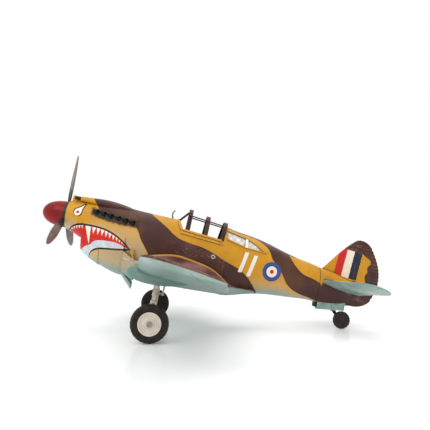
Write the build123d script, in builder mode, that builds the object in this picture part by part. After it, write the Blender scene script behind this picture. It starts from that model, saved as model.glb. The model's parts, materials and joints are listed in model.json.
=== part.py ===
"""Hand-made sheet-metal desk model of a single-seat propeller fighter, standing on its wheels.

Everything is drawn in the aircraft's own frame: X runs aft from the tip of the spinner along the
thrust line, Y points to starboard and Z up.  At the end the whole model is tipped tail-down until
its three wheels stand on Z = 0, and centred over the origin.  Sizes are in millimetres.
"""
import math
import os

from build123d import *

os.makedirs("parts", exist_ok=True)

# ---------------------------------------------------------------- driving dimensions
SHEET = 0.8            # folded sheet metal
SEAM = 0.1             # gap left between neighbouring pieces
HALF_SPAN = 237.0      # wing, centreline to tip

# propeller
SPINNER_LENGTH = 25.0
SPINNER_RADIUS = 15.0
HUB_X = 26.6           # centre plane of the blades
BLADE_RADIUS = 69.5
SHAFT_RADIUS = 2.0
RUNNING_GAP = 0.06     # radial clearance of every shaft in its bush

# fuselage joints along X
COWL_FRONT = 28.9
CHIN_FRONT = 51.0
FIREWALL_X = 100.0
COCKPIT_FRONT = 159.0
COCKPIT_REAR = 211.0
REAR_JOINT = 213.0
TAIL_JOINT = 331.0
TAIL_END = 375.0

# wheels: axle centres and radii
MAIN_WHEEL = (144.2, 90.0, -93.6)
MAIN_RADIUS = 18.8
MAIN_WIDTH = 10.0
MAIN_HUB_RADIUS = 11.4
AXLE_RADIUS = 1.6
TAIL_WHEEL = (368.3, 0.0, -67.9)
TAIL_RADIUS = 10.4
TAIL_WIDTH = 6.0
TAIL_HUB_RADIUS = 5.7
TAIL_AXLE_RADIUS = 1.0

# wing
WING_LEADING_EDGE = (117.0, 0.0, -49.0)
ROOT_CHORD = 112.0
TIP_CHORD = 60.0
TIP_SETBACK = 15.0     # how far the leading edge sweeps back from root to tip
DIHEDRAL = 5.4

# Stations are (x, top, bottom, half width, height of the widest point).
COWL_STATIONS = [
    (COWL_FRONT, 16.4, -15.6, 16.0, 0.4),
    (38.0, 18.2, -19.2, 17.7, -0.6),
    (50.0, 19.3, -24.6, 19.4, -2.0),
    (74.0, 20.2, -31.0, 22.0, -6.0),
    (FIREWALL_X, 20.0, -40.0, 23.8, -11.0),
]
CHIN_STATIONS = [
    (CHIN_FRONT, 4.0, -38.0, 20.4, -9.8),
    (60.0, 4.0, -44.4, 22.0, -12.0),
    (74.0, 4.0, -50.4, 23.6, -15.0),
    (87.0, 2.0, -55.2, 24.6, -18.0),
    (FIREWALL_X, 0.0, -57.8, 25.0, -20.0),
]
FRONT_STATIONS = [
    (FIREWALL_X, 20.0, -45.0, 23.9, -11.0),
    (121.0, 18.4, -56.6, 25.2, -15.0),
    (146.0, 17.2, -60.8, 26.0, -18.0),
    (170.0, 16.4, -61.6, 26.3, -20.0),
    (192.0, 16.8, -61.6, 26.0, -20.0),
    (REAR_JOINT, 18.8, -61.4, 25.2, -19.5),
]
REAR_STATIONS = [
    (REAR_JOINT, 18.8, -61.4, 25.2, -19.5),
    (235.0, 13.6, -59.2, 24.0, -20.0),
    (256.0, 9.8, -54.4, 22.2, -20.5),
    (280.0, 2.8, -52.2, 19.6, -22.0),
    (305.0, -4.0, -51.2, 16.6, -24.5),
    (TAIL_JOINT, -9.9, -51.8, 13.1, -27.6),
]
TAIL_STATIONS = [
    (TAIL_JOINT, -9.9, -51.8, 13.1, -27.6),
    (354.0, -14.2, -51.5, 9.4, -30.0),
    (TAIL_END, -20.0, -49.8, 4.6, -32.5),
]
FULLNESS = 0.58        # of each quarter of a section: 0.55 is an ellipse, 1 is a rectangle

finished = {}


def finish(name, builder):
    """Labels a finished piece and keeps it for the export at the end."""
    builder.part.label = name
    finished[name] = builder.part


def oval(top, bottom, half_width, waist, inset=0.0):
    """One fuselage section as four smooth quarters, flat on XY: its x is Y and its y is Z."""
    high = top - inset
    low = bottom + inset
    wide = half_width - inset
    with BuildSketch(Plane.XY) as section:
        with BuildLine():
            Bezier(
                (0, high),
                (FULLNESS * wide, high),
                (wide, waist + FULLNESS * (high - waist)),
                (wide, waist),
            )
            Bezier(
                (wide, waist),
                (wide, waist - FULLNESS * (waist - low)),
                (FULLNESS * wide, low),
                (0, low),
            )
            mirror(about=Plane.YZ)
        make_face()
    return section.sketch


def hull(stations, inset=0.0):
    """A solid lofted through stations, shrunk all round by inset."""
    with BuildPart() as body:
        for x, top, bottom, half_width, waist in stations:
            with BuildSketch(Plane.YZ.offset(x)):
                add(oval(top, bottom, half_width, waist, inset))
        loft()
    return body.part


def section_at(stations, x):
    """The section of a hull between its stations, by straight interpolation."""
    for a, b in zip(stations, stations[1:]):
        if a[0] <= x <= b[0]:
            share = (x - a[0]) / (b[0] - a[0])
            return [u + share * (v - u) for u, v in zip(a, b)][1:]
    raise ValueError(f"no station at {x}")


def side_y(stations, x, z):
    """Half width of a hull at x and height z."""
    top, bottom, half_width, waist = section_at(stations, x)
    edge = top if z > waist else bottom
    wanted = (z - waist) / (edge - waist)
    low, high = 0.0, 1.0
    for _ in range(30):
        t = (low + high) / 2
        s = 1 - t
        reached = 3 * t * s * s * FULLNESS + 3 * t * t * s + t**3
        if reached < wanted:
            low = t
        else:
            high = t
    return half_width * (s**3 + 3 * t * s * s + 3 * t * t * s * FULLNESS)


def shell_half(outer, inner, side):
    """Half of a sheet-metal tube: what is left of outer without inner, on one side of the keel."""
    with BuildPart() as half:
        add(outer)
        add(inner, mode=Mode.SUBTRACT)
        split(bisect_by=Plane.XZ, keep=Keep.TOP if side < 0 else Keep.BOTTOM)
    return half


# ---------------------------------------------------------------- nose and engine cowling
cowl_outer = hull(COWL_STATIONS)
cowl_inner = hull(COWL_STATIONS, SHEET)
chin_outer = hull(CHIN_STATIONS)
chin_inner = hull(CHIN_STATIONS, SHEET)
front_outer = hull(FRONT_STATIONS)
front_inner = hull(FRONT_STATIONS, SHEET)
rear_outer = hull(REAR_STATIONS)
rear_inner = hull(REAR_STATIONS, SHEET)
tail_outer = hull(TAIL_STATIONS)
tail_inner = hull(TAIL_STATIONS, SHEET)

BULKHEAD_THICK = 1.2
BUSH_RADIUS = 4.0

with BuildPart() as nose_cowl:
    add(cowl_outer)
    add(cowl_inner, mode=Mode.SUBTRACT)
finish("nose_cowl", nose_cowl)

with BuildPart() as chin_scoop:
    add(chin_outer)
    add(chin_inner, mode=Mode.SUBTRACT)
    add(cowl_outer, mode=Mode.SUBTRACT)
finish("chin_scoop", chin_scoop)

with BuildPart() as nose_bulkhead:
    with BuildSketch(Plane.YZ.offset(COWL_FRONT + 0.4)):
        with Locations((0, 0.4)):
            Circle(14.2)
        Circle(BUSH_RADIUS + 0.05, mode=Mode.SUBTRACT)
    extrude(amount=BULKHEAD_THICK)
finish("nose_bulkhead", nose_bulkhead)

with BuildPart() as shaft_bush:
    with BuildSketch(Plane.YZ.offset(COWL_FRONT - 0.1)):
        Circle(BUSH_RADIUS)
        Circle(SHAFT_RADIUS + RUNNING_GAP, mode=Mode.SUBTRACT)
    extrude(amount=9.0)
finish("shaft_bush", shaft_bush)

RADIATOR_X = 62.0
RADIATOR_MOUTHS = [(0, -36.5), (-11.5, -31.0), (11.5, -31.0)]
with BuildPart() as radiator_core:
    with BuildSketch(Plane.YZ.offset(RADIATOR_X)):
        Rectangle(80.0, 120.0)
    extrude(amount=3.0)
    add(hull(CHIN_STATIONS, SHEET + 0.2), mode=Mode.INTERSECT)
    add(cowl_outer, mode=Mode.SUBTRACT)
    with BuildSketch(Plane.YZ.offset(RADIATOR_X)):
        with Locations(*RADIATOR_MOUTHS):
            Circle(4.4)
            Circle(3.7, mode=Mode.SUBTRACT)
    extrude(amount=-4.0)
finish("radiator_core", radiator_core)


def finish_pair(name, builder):
    """Keeps a piece drawn on the port side, and its mirror image for starboard."""
    finish(f"port_{name}", builder)
    with BuildPart() as other:
        mirror(builder.part, about=Plane.XZ)
    finish(f"starboard_{name}", other)


def finish_both(name, builder):
    """Keeps a port piece and its mirror image as the solids of one node."""
    with BuildPart() as both:
        add(builder.part)
        mirror(builder.part, about=Plane.XZ)
    finish(name, both)


def side_profile(points):
    """A closed outline in the plane of symmetry, from points of X and Z."""
    with BuildSketch(Plane.XZ) as outline:
        with BuildLine():
            Polyline(*points, close=True)
        make_face()
    return outline.sketch


def turned(profile):
    """A closed outline of (X, radius) points turned about the thrust line."""
    with BuildPart() as body:
        with BuildSketch(Plane.XZ):
            with BuildLine():
                Polyline(*profile, close=True)
            make_face()
        revolve(axis=Axis.X)
    return body.part


def rod(start, end, radius):
    """A plain round bar between two points."""
    run = Vector(*end) - Vector(*start)
    with BuildPart() as bar:
        with BuildSketch(Plane(origin=start, z_dir=run)):
            Circle(radius)
        extrude(amount=run.length)
    return bar.part


# ---------------------------------------------------------------- propeller
BACKPLATE_FRONT = 25.1
BACKPLATE_REAR = 28.4
BLADE_ROOT = SPINNER_RADIUS + 0.6
STEM_RADIUS = 1.2      # blade stem let into the edge of the backplate
STEM_LENGTH = 7.0
BLADE_SHEET = 1.1
# Each blade section is (share of the radius, chord, angle to the disc in degrees).
BLADE_SECTIONS = [
    (BLADE_ROOT / BLADE_RADIUS, 4.6, 42.0),
    (0.36, 7.8, 37.0),
    (0.58, 10.0, 31.0),
    (0.78, 9.4, 26.0),
    (0.90, 7.2, 23.0),
    (0.97, 4.4, 21.5),
    (1.0, 1.6, 21.0),
]

with BuildPart() as spinner:
    with BuildSketch(Plane.XZ):
        with BuildLine():
            Bezier(
                (0, 0),
                (0, 0.62 * SPINNER_RADIUS),
                (0.45 * SPINNER_LENGTH, SPINNER_RADIUS),
                (SPINNER_LENGTH, SPINNER_RADIUS),
            )
            Line((SPINNER_LENGTH, SPINNER_RADIUS), (SPINNER_LENGTH, 0))
            Line((SPINNER_LENGTH, 0), (0, 0))
        make_face()
    revolve(axis=Axis.X)
    with BuildSketch(Plane.YZ.offset(SPINNER_LENGTH)):
        Circle(SPINNER_RADIUS - 3.0)
    extrude(amount=-11.0, mode=Mode.SUBTRACT)
finish("spinner", spinner)


def blade(turn):
    """One sheet blade set round the hub: a leaf that twists from its root to its tip."""
    with BuildPart() as leaf:
        for share, chord, pitch in BLADE_SECTIONS:
            with BuildSketch(Plane.XY.offset(share * BLADE_RADIUS)):
                Rectangle(BLADE_SHEET, chord, rotation=pitch)
        loft()
        with BuildSketch(Plane.XY.offset(BLADE_ROOT + 0.4)):
            Circle(STEM_RADIUS)
        extrude(amount=-STEM_LENGTH - 0.4)
    return leaf.part.moved(Location((HUB_X, 0, 0))).rotate(Axis.X, turn)


BLADE_TURNS = (0.0, 120.0, 240.0)

with BuildPart() as propeller_blades:
    for turn in BLADE_TURNS:
        add(blade(turn))
finish("propeller_blades", propeller_blades)

with BuildPart() as propeller_backplate:
    add(
        turned(
            [
                (BACKPLATE_FRONT, SHAFT_RADIUS + 0.01),
                (BACKPLATE_FRONT, SPINNER_RADIUS - 0.3),
                (BACKPLATE_REAR, SPINNER_RADIUS + 0.3),
                (BACKPLATE_REAR, SHAFT_RADIUS + 0.01),
            ]
        )
    )
    for turn in BLADE_TURNS:
        with BuildSketch(Plane.XY.rotated((turn, 0, 0)).offset(BLADE_ROOT)):
            with Locations((HUB_X, 0)):
                Circle(STEM_RADIUS + 0.01)
        extrude(amount=-STEM_LENGTH - 0.1, mode=Mode.SUBTRACT)
finish("propeller_backplate", propeller_backplate)

with BuildPart() as propeller_shaft:
    add(rod((17.0, 0, 0), (COWL_FRONT + 11.5, 0, 0), SHAFT_RADIUS))
    add(rod((COWL_FRONT + 9.3, 0, 0), (COWL_FRONT + 11.5, 0, 0), SHAFT_RADIUS + 1.6))
finish("propeller_shaft", propeller_shaft)


# ---------------------------------------------------------------- wing
def run_at(angle):
    """Unit vector pointing aft along a chord set at an angle of incidence."""
    return (math.cos(math.radians(angle)), 0, -math.sin(math.radians(angle)))


def wing_edge(y):
    """Leading edge point at a distance y from the centreline, on the port side."""
    x, _, z = WING_LEADING_EDGE
    return (x + TIP_SETBACK * y / HALF_SPAN, -y, z + y * math.tan(math.radians(DIHEDRAL)))


def airfoil(chord, upper, lower, edge):
    """A section on XY: leading edge at the origin, chord along X, edge the trailing thickness."""
    with BuildSketch(Plane.XY) as section:
        with BuildLine():
            Bezier((0, 0), (0, 1.33 * upper), (0.34 * chord, 1.45 * upper), (chord, edge / 2))
            Bezier((0, 0), (0, -1.33 * lower), (0.34 * chord, -1.45 * lower), (chord, -edge / 2))
            Line((chord, edge / 2), (chord, -edge / 2))
        make_face()
    return section.sketch


# Wing sections are (distance out, chord, height above the chord, depth below it, incidence).
ROOT_INCIDENCE = 5.0
WING_SECTIONS = [
    (0.0, ROOT_CHORD, 9.6, 7.6, ROOT_INCIDENCE),
    (150.0, ROOT_CHORD - 0.63 * (ROOT_CHORD - TIP_CHORD), 5.2, 4.0, 7.0),
    (HALF_SPAN + 6.0, TIP_CHORD, 1.7, 1.5, 8.7),
]


def wing_block(inset):
    """The port wing as a solid, or with an inset the room inside its skins."""
    with BuildPart() as block:
        for y, chord, upper, lower, incidence in WING_SECTIONS:
            run = Vector(*run_at(incidence))
            nose = Vector(*wing_edge(y)) + run * (1.5 * inset)
            length = chord - 9 * inset
            with BuildSketch(Plane(origin=nose, x_dir=run, z_dir=(0, -1, 0))):
                add(airfoil(length, upper - inset, lower - inset, 1.0 - 0.5 * inset))
        loft(ruled=True)
        with BuildSketch(Plane.XY.offset(-100.0)):
            with BuildLine():
                reach = HALF_SPAN - 2 * inset
                front = WING_LEADING_EDGE[0] - 5.0
                rear = WING_LEADING_EDGE[0] + ROOT_CHORD + 5.0
                Line((front, 5), (front + 14.0, -190.0))
                Bezier(
                    (front + 14.0, -190.0),
                    (front + 17.0, -222.0),
                    (144.0, -reach),
                    (163.0, -reach),
                )
                Bezier(
                    (163.0, -reach),
                    (184.0, -reach),
                    (rear - 34.0, -220.0),
                    (rear - 28.0, -180.0),
                )
                Line((rear - 28.0, -180.0), (rear, 5))
                Line((rear, 5), (front, 5))
            make_face()
        extrude(amount=200.0, mode=Mode.INTERSECT)
    return block.part


wing_outer = wing_block(0.0)
wing_inner = wing_block(SHEET)

# Everything below the chords, where the two wing skins meet.
BELOW_CHORD = 60.0
with BuildPart() as under_chord:
    for y, chord, _, _, incidence in WING_SECTIONS:
        with BuildSketch(Plane(origin=wing_edge(y), x_dir=run_at(incidence), z_dir=(0, -1, 0))):
            with BuildLine():
                Polyline(
                    (-0.2 * chord, 0),
                    (1.2 * chord, 0),
                    (1.2 * chord, -BELOW_CHORD),
                    (-0.2 * chord, -BELOW_CHORD),
                    close=True,
                )
            make_face()
    loft(ruled=True)

SPAR_X = 152.0
SPAR_REACH = 70.0
SPAR_HEIGHT = 5.0
SPAR_THICK = 1.2

with BuildPart() as wing_spar:
    with BuildSketch(Plane.YZ.offset(SPAR_X)):
        with BuildLine():
            rise = math.tan(math.radians(DIHEDRAL))
            drop = (SPAR_X - WING_LEADING_EDGE[0]) * math.tan(math.radians(ROOT_INCIDENCE))
            base = WING_LEADING_EDGE[2] - drop - SPAR_HEIGHT / 2
            Polyline(
                (0, base),
                (SPAR_REACH, base + SPAR_REACH * rise),
                (SPAR_REACH, base + SPAR_REACH * rise + SPAR_HEIGHT),
                (0, base + SPAR_HEIGHT),
                close=True,
            )
        make_face()
        mirror(about=Plane.YZ)
    extrude(amount=SPAR_THICK)
finish("wing_spar", wing_spar)

# ---------------------------------------------------------------- fuselage shells
SILL = [(156.5, 40), (157.5, 14.0), (161.5, 5.0), (209.8, -0.4), (213.2, 20.0), (213.2, 40)]
WINDOW_FRONT = [
    (214.3, 12.6),
    (232.4, 8.3),
    (235.3, 6.4),
    (235.1, -2.3),
    (233.6, -1.2),
    (214.3, 4.0),
]
WINDOW_REAR = [(238.9, 6.6), (246.9, 3.1), (252.6, -0.8), (252.3, -3.5), (239.1, -2.5)]
EYELET = (200.1, -19.5)
EYELET_RADIUS = 2.6


def cut_across(points):
    """A block right through the fuselage in Y, from a side view outline."""
    with BuildPart() as block:
        with BuildSketch(Plane.XZ):
            add(side_profile(points))
        extrude(amount=40.0, both=True)
    return block.part


cockpit_cut = cut_across(SILL)
window_cuts = [cut_across(WINDOW_FRONT), cut_across(WINDOW_REAR)]

with BuildPart() as eyelet_hole:
    with BuildSketch(Plane.XZ.offset(15.0)):
        with Locations(EYELET):
            Circle(EYELET_RADIUS + 0.02)
    extrude(amount=15.0)

front_port = shell_half(front_outer, front_inner, -1)
front_starboard = shell_half(front_outer, front_inner, 1)
for side, half in (("port", front_port), ("starboard", front_starboard)):
    with BuildPart() as opened:
        add(half.part)
        add([cockpit_cut, wing_spar.part], mode=Mode.SUBTRACT)
        if side == "port":
            add(eyelet_hole.part, mode=Mode.SUBTRACT)
    finish(f"{side}_front_fuselage", opened)

for side, sign in (("port", -1), ("starboard", 1)):
    half = shell_half(rear_outer, rear_inner, sign)
    with BuildPart() as opened:
        add(half.part)
        add(window_cuts, mode=Mode.SUBTRACT)
    finish(f"{side}_rear_fuselage", opened)
finish_both("tail_cone", shell_half(tail_outer, tail_inner, -1))

# The sighting ring let into the port side.
with BuildPart() as side_ring:
    with BuildSketch(Plane.XZ.offset(21.0)):
        with Locations(EYELET):
            Circle(EYELET_RADIUS)
            Circle(1.1, mode=Mode.SUBTRACT)
    extrude(amount=6.0)
finish("side_ring", side_ring)

# ---------------------------------------------------------------- cockpit
FLOOR_Z = -34.0

with BuildPart() as cockpit_floor:
    with BuildSketch(Plane.XY.offset(FLOOR_Z)):
        with Locations((178.0, 0)):
            Rectangle(56.0, 40.0)
    extrude(amount=-1.0)
finish("cockpit_floor", cockpit_floor)

with BuildPart() as seat:
    with BuildSketch(Plane.XZ):
        add(
            side_profile(
                [
                    (181.0, FLOOR_Z),
                    (181.0, FLOOR_Z + 9.0),
                    (196.6, FLOOR_Z + 7.6),
                    (201.4, FLOOR_Z + 30.0),
                    (203.0, FLOOR_Z + 29.6),
                    (197.8, FLOOR_Z),
                ]
            )
        )
    extrude(amount=7.5, both=True)
    with BuildSketch(Plane.XZ):
        add(
            side_profile(
                [
                    (182.2, FLOOR_Z - 1),
                    (182.2, FLOOR_Z + 7.6),
                    (196.6, FLOOR_Z + 6.4),
                    (196.6, FLOOR_Z - 1),
                ]
            )
        )
    extrude(amount=6.3, both=True, mode=Mode.SUBTRACT)
finish("seat", seat)

with BuildPart() as instrument_panel:
    with BuildSketch(Plane.YZ.offset(158.0)):
        add(oval(*section_at(FRONT_STATIONS, 158.0), inset=SHEET + 0.15))
        with Locations((0, -60.0)):
            Rectangle(80.0, 100.0, mode=Mode.SUBTRACT)
    extrude(amount=-1.0)
finish("instrument_panel", instrument_panel)

# ---------------------------------------------------------------- canopy frame
ARCH_WIDTH = 4.6
ARCH_SHEET = 1.1
ARCH_FOOT = -5.0
# Each arch is (x of its feet, x of its top, height of its top).
ARCHES = {
    "windscreen_arch": (166.6, 168.4, 31.2),
    "middle_arch": (187.6, 189.6, 26.5),
    "rear_arch": (206.6, 211.0, 23.0),
}


def sill_height(x):
    """Height of the cockpit's edge, which drops evenly from the windscreen to the rear arch."""
    (front_x, front_z), (rear_x, rear_z) = SILL[2], SILL[3]
    return front_z + (x - front_x) * (rear_z - front_z) / (rear_x - front_x)


def arch(foot_x, top_x, top_z):
    """A flat strip bent over the cockpit between the sills, its top a little aft of its feet."""
    half_width = side_y(FRONT_STATIONS, foot_x, sill_height(foot_x)) - SHEET - 0.4
    height = math.hypot(top_x - foot_x, top_z - ARCH_FOOT)
    aft = Vector(top_z - ARCH_FOOT, 0, foot_x - top_x)
    with BuildPart() as strip:
        with BuildSketch(Plane(origin=(foot_x, 0, ARCH_FOOT), x_dir=(0, 1, 0), z_dir=aft)):
            add(oval(height, -height, half_width, 0.0))
            add(oval(height, -height, half_width, 0.0, ARCH_SHEET), mode=Mode.SUBTRACT)
            with Locations((0, -height)):
                Rectangle(4 * half_width, 2 * height, mode=Mode.SUBTRACT)
        extrude(amount=ARCH_WIDTH / 2, both=True)
    return strip


arches = [arch(*place) for place in ARCHES.values()]
for name, strip in zip(ARCHES, arches):
    finish(name, strip)
arch_solids = [strip.part for strip in arches]

RAIL_RADIUS = 0.75
with BuildPart() as canopy_rails:
    add(rod((167.0, -13.2, 23.0), (210.0, -12.0, 17.3), RAIL_RADIUS))
    add(arch_solids, mode=Mode.SUBTRACT)
finish_both("canopy_rails", canopy_rails)


def raised_strips(hull_stations, outlines, height):
    """Flat strips lying on a hull, cut from a skin of that height by side view outlines."""
    skin = hull(hull_stations, -height)
    bare = hull(hull_stations, 0.0)
    with BuildPart() as strips:
        for outline in outlines:
            with BuildSketch(Plane.XZ):
                add(side_profile(outline))
        extrude(amount=40.0, both=True)
        add(skin, mode=Mode.INTERSECT)
        add(bare, mode=Mode.SUBTRACT)
    return strips


upper_rail = [(161.8, 6.4), (207.0, 1.2), (207.0, -0.9), (161.8, 4.3)]
lower_rail = [(160.4, 3.0), (208.6, -2.2), (208.6, -4.4), (160.4, 0.8)]
windscreen_foot = [(153.8, 24), (156.3, 24), (157.4, 14.2), (161.4, 6.8), (159.4, 5.0), (155.2, 12.0)]
cockpit_coaming = raised_strips(FRONT_STATIONS, [upper_rail, lower_rail, windscreen_foot], 1.2)
finish("cockpit_coaming", cockpit_coaming)

with BuildPart() as windscreen_struts:
    add(rod((154.2, -8.0, 14.0), (165.6, -9.3, 26.3), 0.9))
    add([front_outer, cockpit_coaming.part, arch_solids[0]], mode=Mode.SUBTRACT)
finish_both("windscreen_struts", windscreen_struts)

rim_start = REAR_JOINT + 0.3
upper_rim = [
    (rim_start, 14.0),
    (232.8, 9.6),
    (239.0, 7.9),
    (247.4, 4.5),
    (253.6, 0.6),
    (262.0, -4.6),
    (259.0, -4.4),
    (253.0, -0.7),
    (246.9, 3.3),
    (238.9, 6.8),
    (232.5, 8.5),
    (rim_start, 12.9),
]
lower_rim = [
    (rim_start, 3.8),
    (233.7, -1.4),
    (239.2, -2.7),
    (252.4, -3.7),
    (262.0, -4.6),
    (262.0, -5.4),
    (252.2, -4.8),
    (239.0, -3.8),
    (233.4, -2.5),
    (rim_start, 2.7),
]
divider = [(235.5, 7.6), (238.6, 6.7), (238.8, -2.7), (235.3, -2.2)]
finish("window_frames", raised_strips(REAR_STATIONS, [upper_rim, lower_rim, divider], 0.9))

with BuildPart() as window_lattices:
    for outline in (WINDOW_FRONT, WINDOW_REAR):
        with BuildSketch(Plane.XZ):
            add(side_profile(outline))
            offset(amount=0.8)
    extrude(amount=40.0, both=True)
    add(hull(REAR_STATIONS, SHEET + 0.1), mode=Mode.INTERSECT)
    add(hull(REAR_STATIONS, SHEET + 0.6), mode=Mode.SUBTRACT)
finish("window_lattices", window_lattices)

with BuildPart() as gunsight:
    with BuildLine(Plane.XZ):
        hook = Spline((148.6, 16.0), (146.9, 21.0), (147.2, 24.2), (149.4, 26.6))
    with BuildSketch(Plane(origin=hook @ 0, z_dir=hook % 0)):
        Circle(0.9)
    sweep()
    add(front_outer, mode=Mode.SUBTRACT)
finish("gunsight", gunsight)

# ---------------------------------------------------------------- top of the cowling
SCOOP_STATIONS = [
    (31.2, 24.0, 10.0, 5.6, 17.0),
    (40.0, 23.4, 10.0, 6.0, 17.0),
    (54.0, 24.2, 10.0, 7.2, 17.0),
    (71.0, 24.6, 10.0, 7.2, 17.0),
    (88.0, 22.8, 10.0, 5.6, 16.0),
    (104.0, 19.0, 10.0, 3.0, 14.0),
]
scoop_outer = hull(SCOOP_STATIONS)

with BuildPart() as carburettor_scoop:
    add(scoop_outer)
    with BuildSketch(Plane.YZ.offset(SCOOP_STATIONS[0][0])):
        add(oval(*SCOOP_STATIONS[0][1:], inset=1.0))
    extrude(amount=9.0, mode=Mode.SUBTRACT)
    add([cowl_outer, front_outer], mode=Mode.SUBTRACT)
finish("carburettor_scoop", carburettor_scoop)

GUN_Y = 9.6
GUN_Z = 20.4
# Fairing sections are (x, radius, height of the centre).
GUN_FAIRING = [
    (41.5, 2.6, 20.2),
    (52.0, 3.2, 20.0),
    (72.0, 3.6, 18.6),
    (92.0, 2.4, 17.4),
    (104.0, 1.0, 16.0),
]
with BuildPart() as gun_fairings:
    for x, radius, z in GUN_FAIRING:
        with BuildSketch(Plane.YZ.offset(x)):
            with Locations((-GUN_Y, z)):
                Circle(radius)
    loft()
    add([cowl_outer, front_outer, scoop_outer], mode=Mode.SUBTRACT)
finish_both("gun_fairings", gun_fairings)

with BuildPart() as gun_barrels:
    with BuildSketch(Plane.YZ.offset(34.6)):
        with Locations((-GUN_Y, GUN_Z)):
            Circle(1.9)
    extrude(amount=6.8)
    with BuildSketch(Plane.YZ.offset(34.6)):
        with Locations((-GUN_Y, GUN_Z)):
            Circle(0.9)
    extrude(amount=4.0, mode=Mode.SUBTRACT)
    add([cowl_outer, scoop_outer], mode=Mode.SUBTRACT)
finish_both("gun_barrels", gun_barrels)

# ---------------------------------------------------------------- exhausts
STACKS = 6
STACK_PITCH = 8.3
STACK_RADIUS = 2.7
STACK_LENGTH = 6.4
STACK_AIM = (0.72, -0.69, 0.0)

with BuildPart() as exhaust_stacks:
    for number in range(STACKS):
        x = 60.0 + STACK_PITCH * number
        z = 8.4 - 1.1 * number
        wall = side_y(COWL_STATIONS, min(x, 99.9), z)
        mouth = Plane(origin=(x, 2.0 - wall, z), z_dir=STACK_AIM)
        with BuildSketch(mouth):
            Circle(STACK_RADIUS)
        extrude(amount=STACK_LENGTH)
        with BuildSketch(mouth.offset(STACK_LENGTH)):
            Circle(STACK_RADIUS - 0.7)
        extrude(amount=-2.6, mode=Mode.SUBTRACT)
    add([cowl_outer, front_outer], mode=Mode.SUBTRACT)
finish_both("exhaust_stacks", exhaust_stacks)

# ---------------------------------------------------------------- chin band and cooling flaps
with BuildPart() as chin_band:
    with BuildSketch(Plane.XZ):
        add(side_profile([(69.6, -32.0), (72.8, -32.0), (73.6, -60.0), (70.4, -60.0)]))
    extrude(amount=40.0, both=True)
    add(hull(CHIN_STATIONS, -0.6), mode=Mode.INTERSECT)
    add([chin_outer, cowl_outer], mode=Mode.SUBTRACT)
finish("chin_band", chin_band)

SIDE_FLAP_STATIONS = [(FIREWALL_X + 0.2, 2.0, -57.4, 25.6, -20.0), (117.0, 2.0, -66.0, 29.6, -22.0)]
BELLY_FLAP_STATIONS = [(FIREWALL_X + 0.2, 2.0, -57.6, 25.0, -20.0), (114.0, 2.0, -72.6, 26.0, -22.0)]
side_flap_outline = [(100.2, -30.0), (116.6, -39.5), (114.4, -62.5), (100.2, -55.0)]
with BuildPart() as side_flaps:
    with BuildSketch(Plane.XZ):
        add(side_profile(side_flap_outline))
    extrude(amount=40.0, both=True)
    add(hull(SIDE_FLAP_STATIONS), mode=Mode.INTERSECT)
    add(hull(SIDE_FLAP_STATIONS, 1.0), mode=Mode.SUBTRACT)
    add([front_outer, chin_outer], mode=Mode.SUBTRACT)

with BuildPart() as belly_flap:
    with BuildSketch(Plane.XY.offset(-80.0)):
        with Locations((FIREWALL_X + 7.0, 0)):
            Rectangle(16.0, 25.0)
    extrude(amount=40.0)
    add(hull(BELLY_FLAP_STATIONS), mode=Mode.INTERSECT)
    add(hull(BELLY_FLAP_STATIONS, 1.2), mode=Mode.SUBTRACT)
    add([front_outer, side_flaps.part], mode=Mode.SUBTRACT)

with BuildPart() as cooling_flaps:
    add([side_flaps.part, belly_flap.part])
finish("cooling_flaps", cooling_flaps)

with BuildPart() as flap_hinges:
    add(rod((110.6, -20.0, -30.0), (110.6, -29.0, -30.0), 1.8))
    add(rod((110.6, -27.6, -30.0), (113.6, -28.6, -40.0), 0.9))
    add([front_outer, side_flaps.part], mode=Mode.SUBTRACT)
finish_both("flap_hinges", flap_hinges)

# ---------------------------------------------------------------- wing skins, fillets and guns
# Fillet stations are (x, top on the hull, how far it reaches out, height of its outer foot).
FILLET_STATIONS = [
    (119.0, -41.0, 27.0, -47.5),
    (125.0, -28.5, 32.0, -47.5),
    (146.0, -20.8, 37.0, -48.8),
    (170.0, -19.0, 39.0, -50.7),
    (190.0, -25.0, 38.0, -52.6),
    (208.0, -33.8, 35.0, -54.5),
    (222.0, -43.6, 30.0, -56.2),
    (238.0, -49.0, 25.5, -55.6),
    (256.0, -51.0, 19.0, -53.4),
]


def hull_side(x, z):
    """Half width of the fuselage at any x behind the firewall."""
    return side_y(FRONT_STATIONS if x < REAR_JOINT else REAR_STATIONS, x, z)


with BuildPart() as wing_fillet:
    for x, top, reach, foot in FILLET_STATIONS:
        inside = hull_side(x, top) - 1.0
        with BuildSketch(Plane(origin=(x, 0, 0), x_dir=(0, -1, 0), z_dir=(-1, 0, 0))):
            with BuildLine():
                Bezier(
                    (inside, top),
                    (inside + 0.15 * (reach - inside), foot + 0.4 * (top - foot)),
                    (inside + 0.40 * (reach - inside), foot + 0.15 * (top - foot)),
                    (reach, foot),
                )
                Line((reach, foot), (2.0, foot))
                Line((2.0, foot), (2.0, top))
                Line((2.0, top), (inside, top))
            make_face()
    loft()
    add([front_outer, rear_outer, wing_outer], mode=Mode.SUBTRACT)
finish_both("wing_fillets", wing_fillet)

MAIN_LEG_Y = 81.2
POD_HEIGHT = -47.4
with BuildPart() as gear_pod:
    with BuildSketch(Plane.XZ.offset(MAIN_LEG_Y)):
        with BuildLine():
            Bezier(
                (112.6, POD_HEIGHT),
                (113.0, POD_HEIGHT + 12.0),
                (160.0, POD_HEIGHT + 14.0),
                (186.0, POD_HEIGHT),
            )
            Line((186.0, POD_HEIGHT), (112.6, POD_HEIGHT))
        make_face()
    revolve(axis=Axis((0, -MAIN_LEG_Y, POD_HEIGHT), (1, 0, 0)))
    add(wing_outer, mode=Mode.SUBTRACT)

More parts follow.
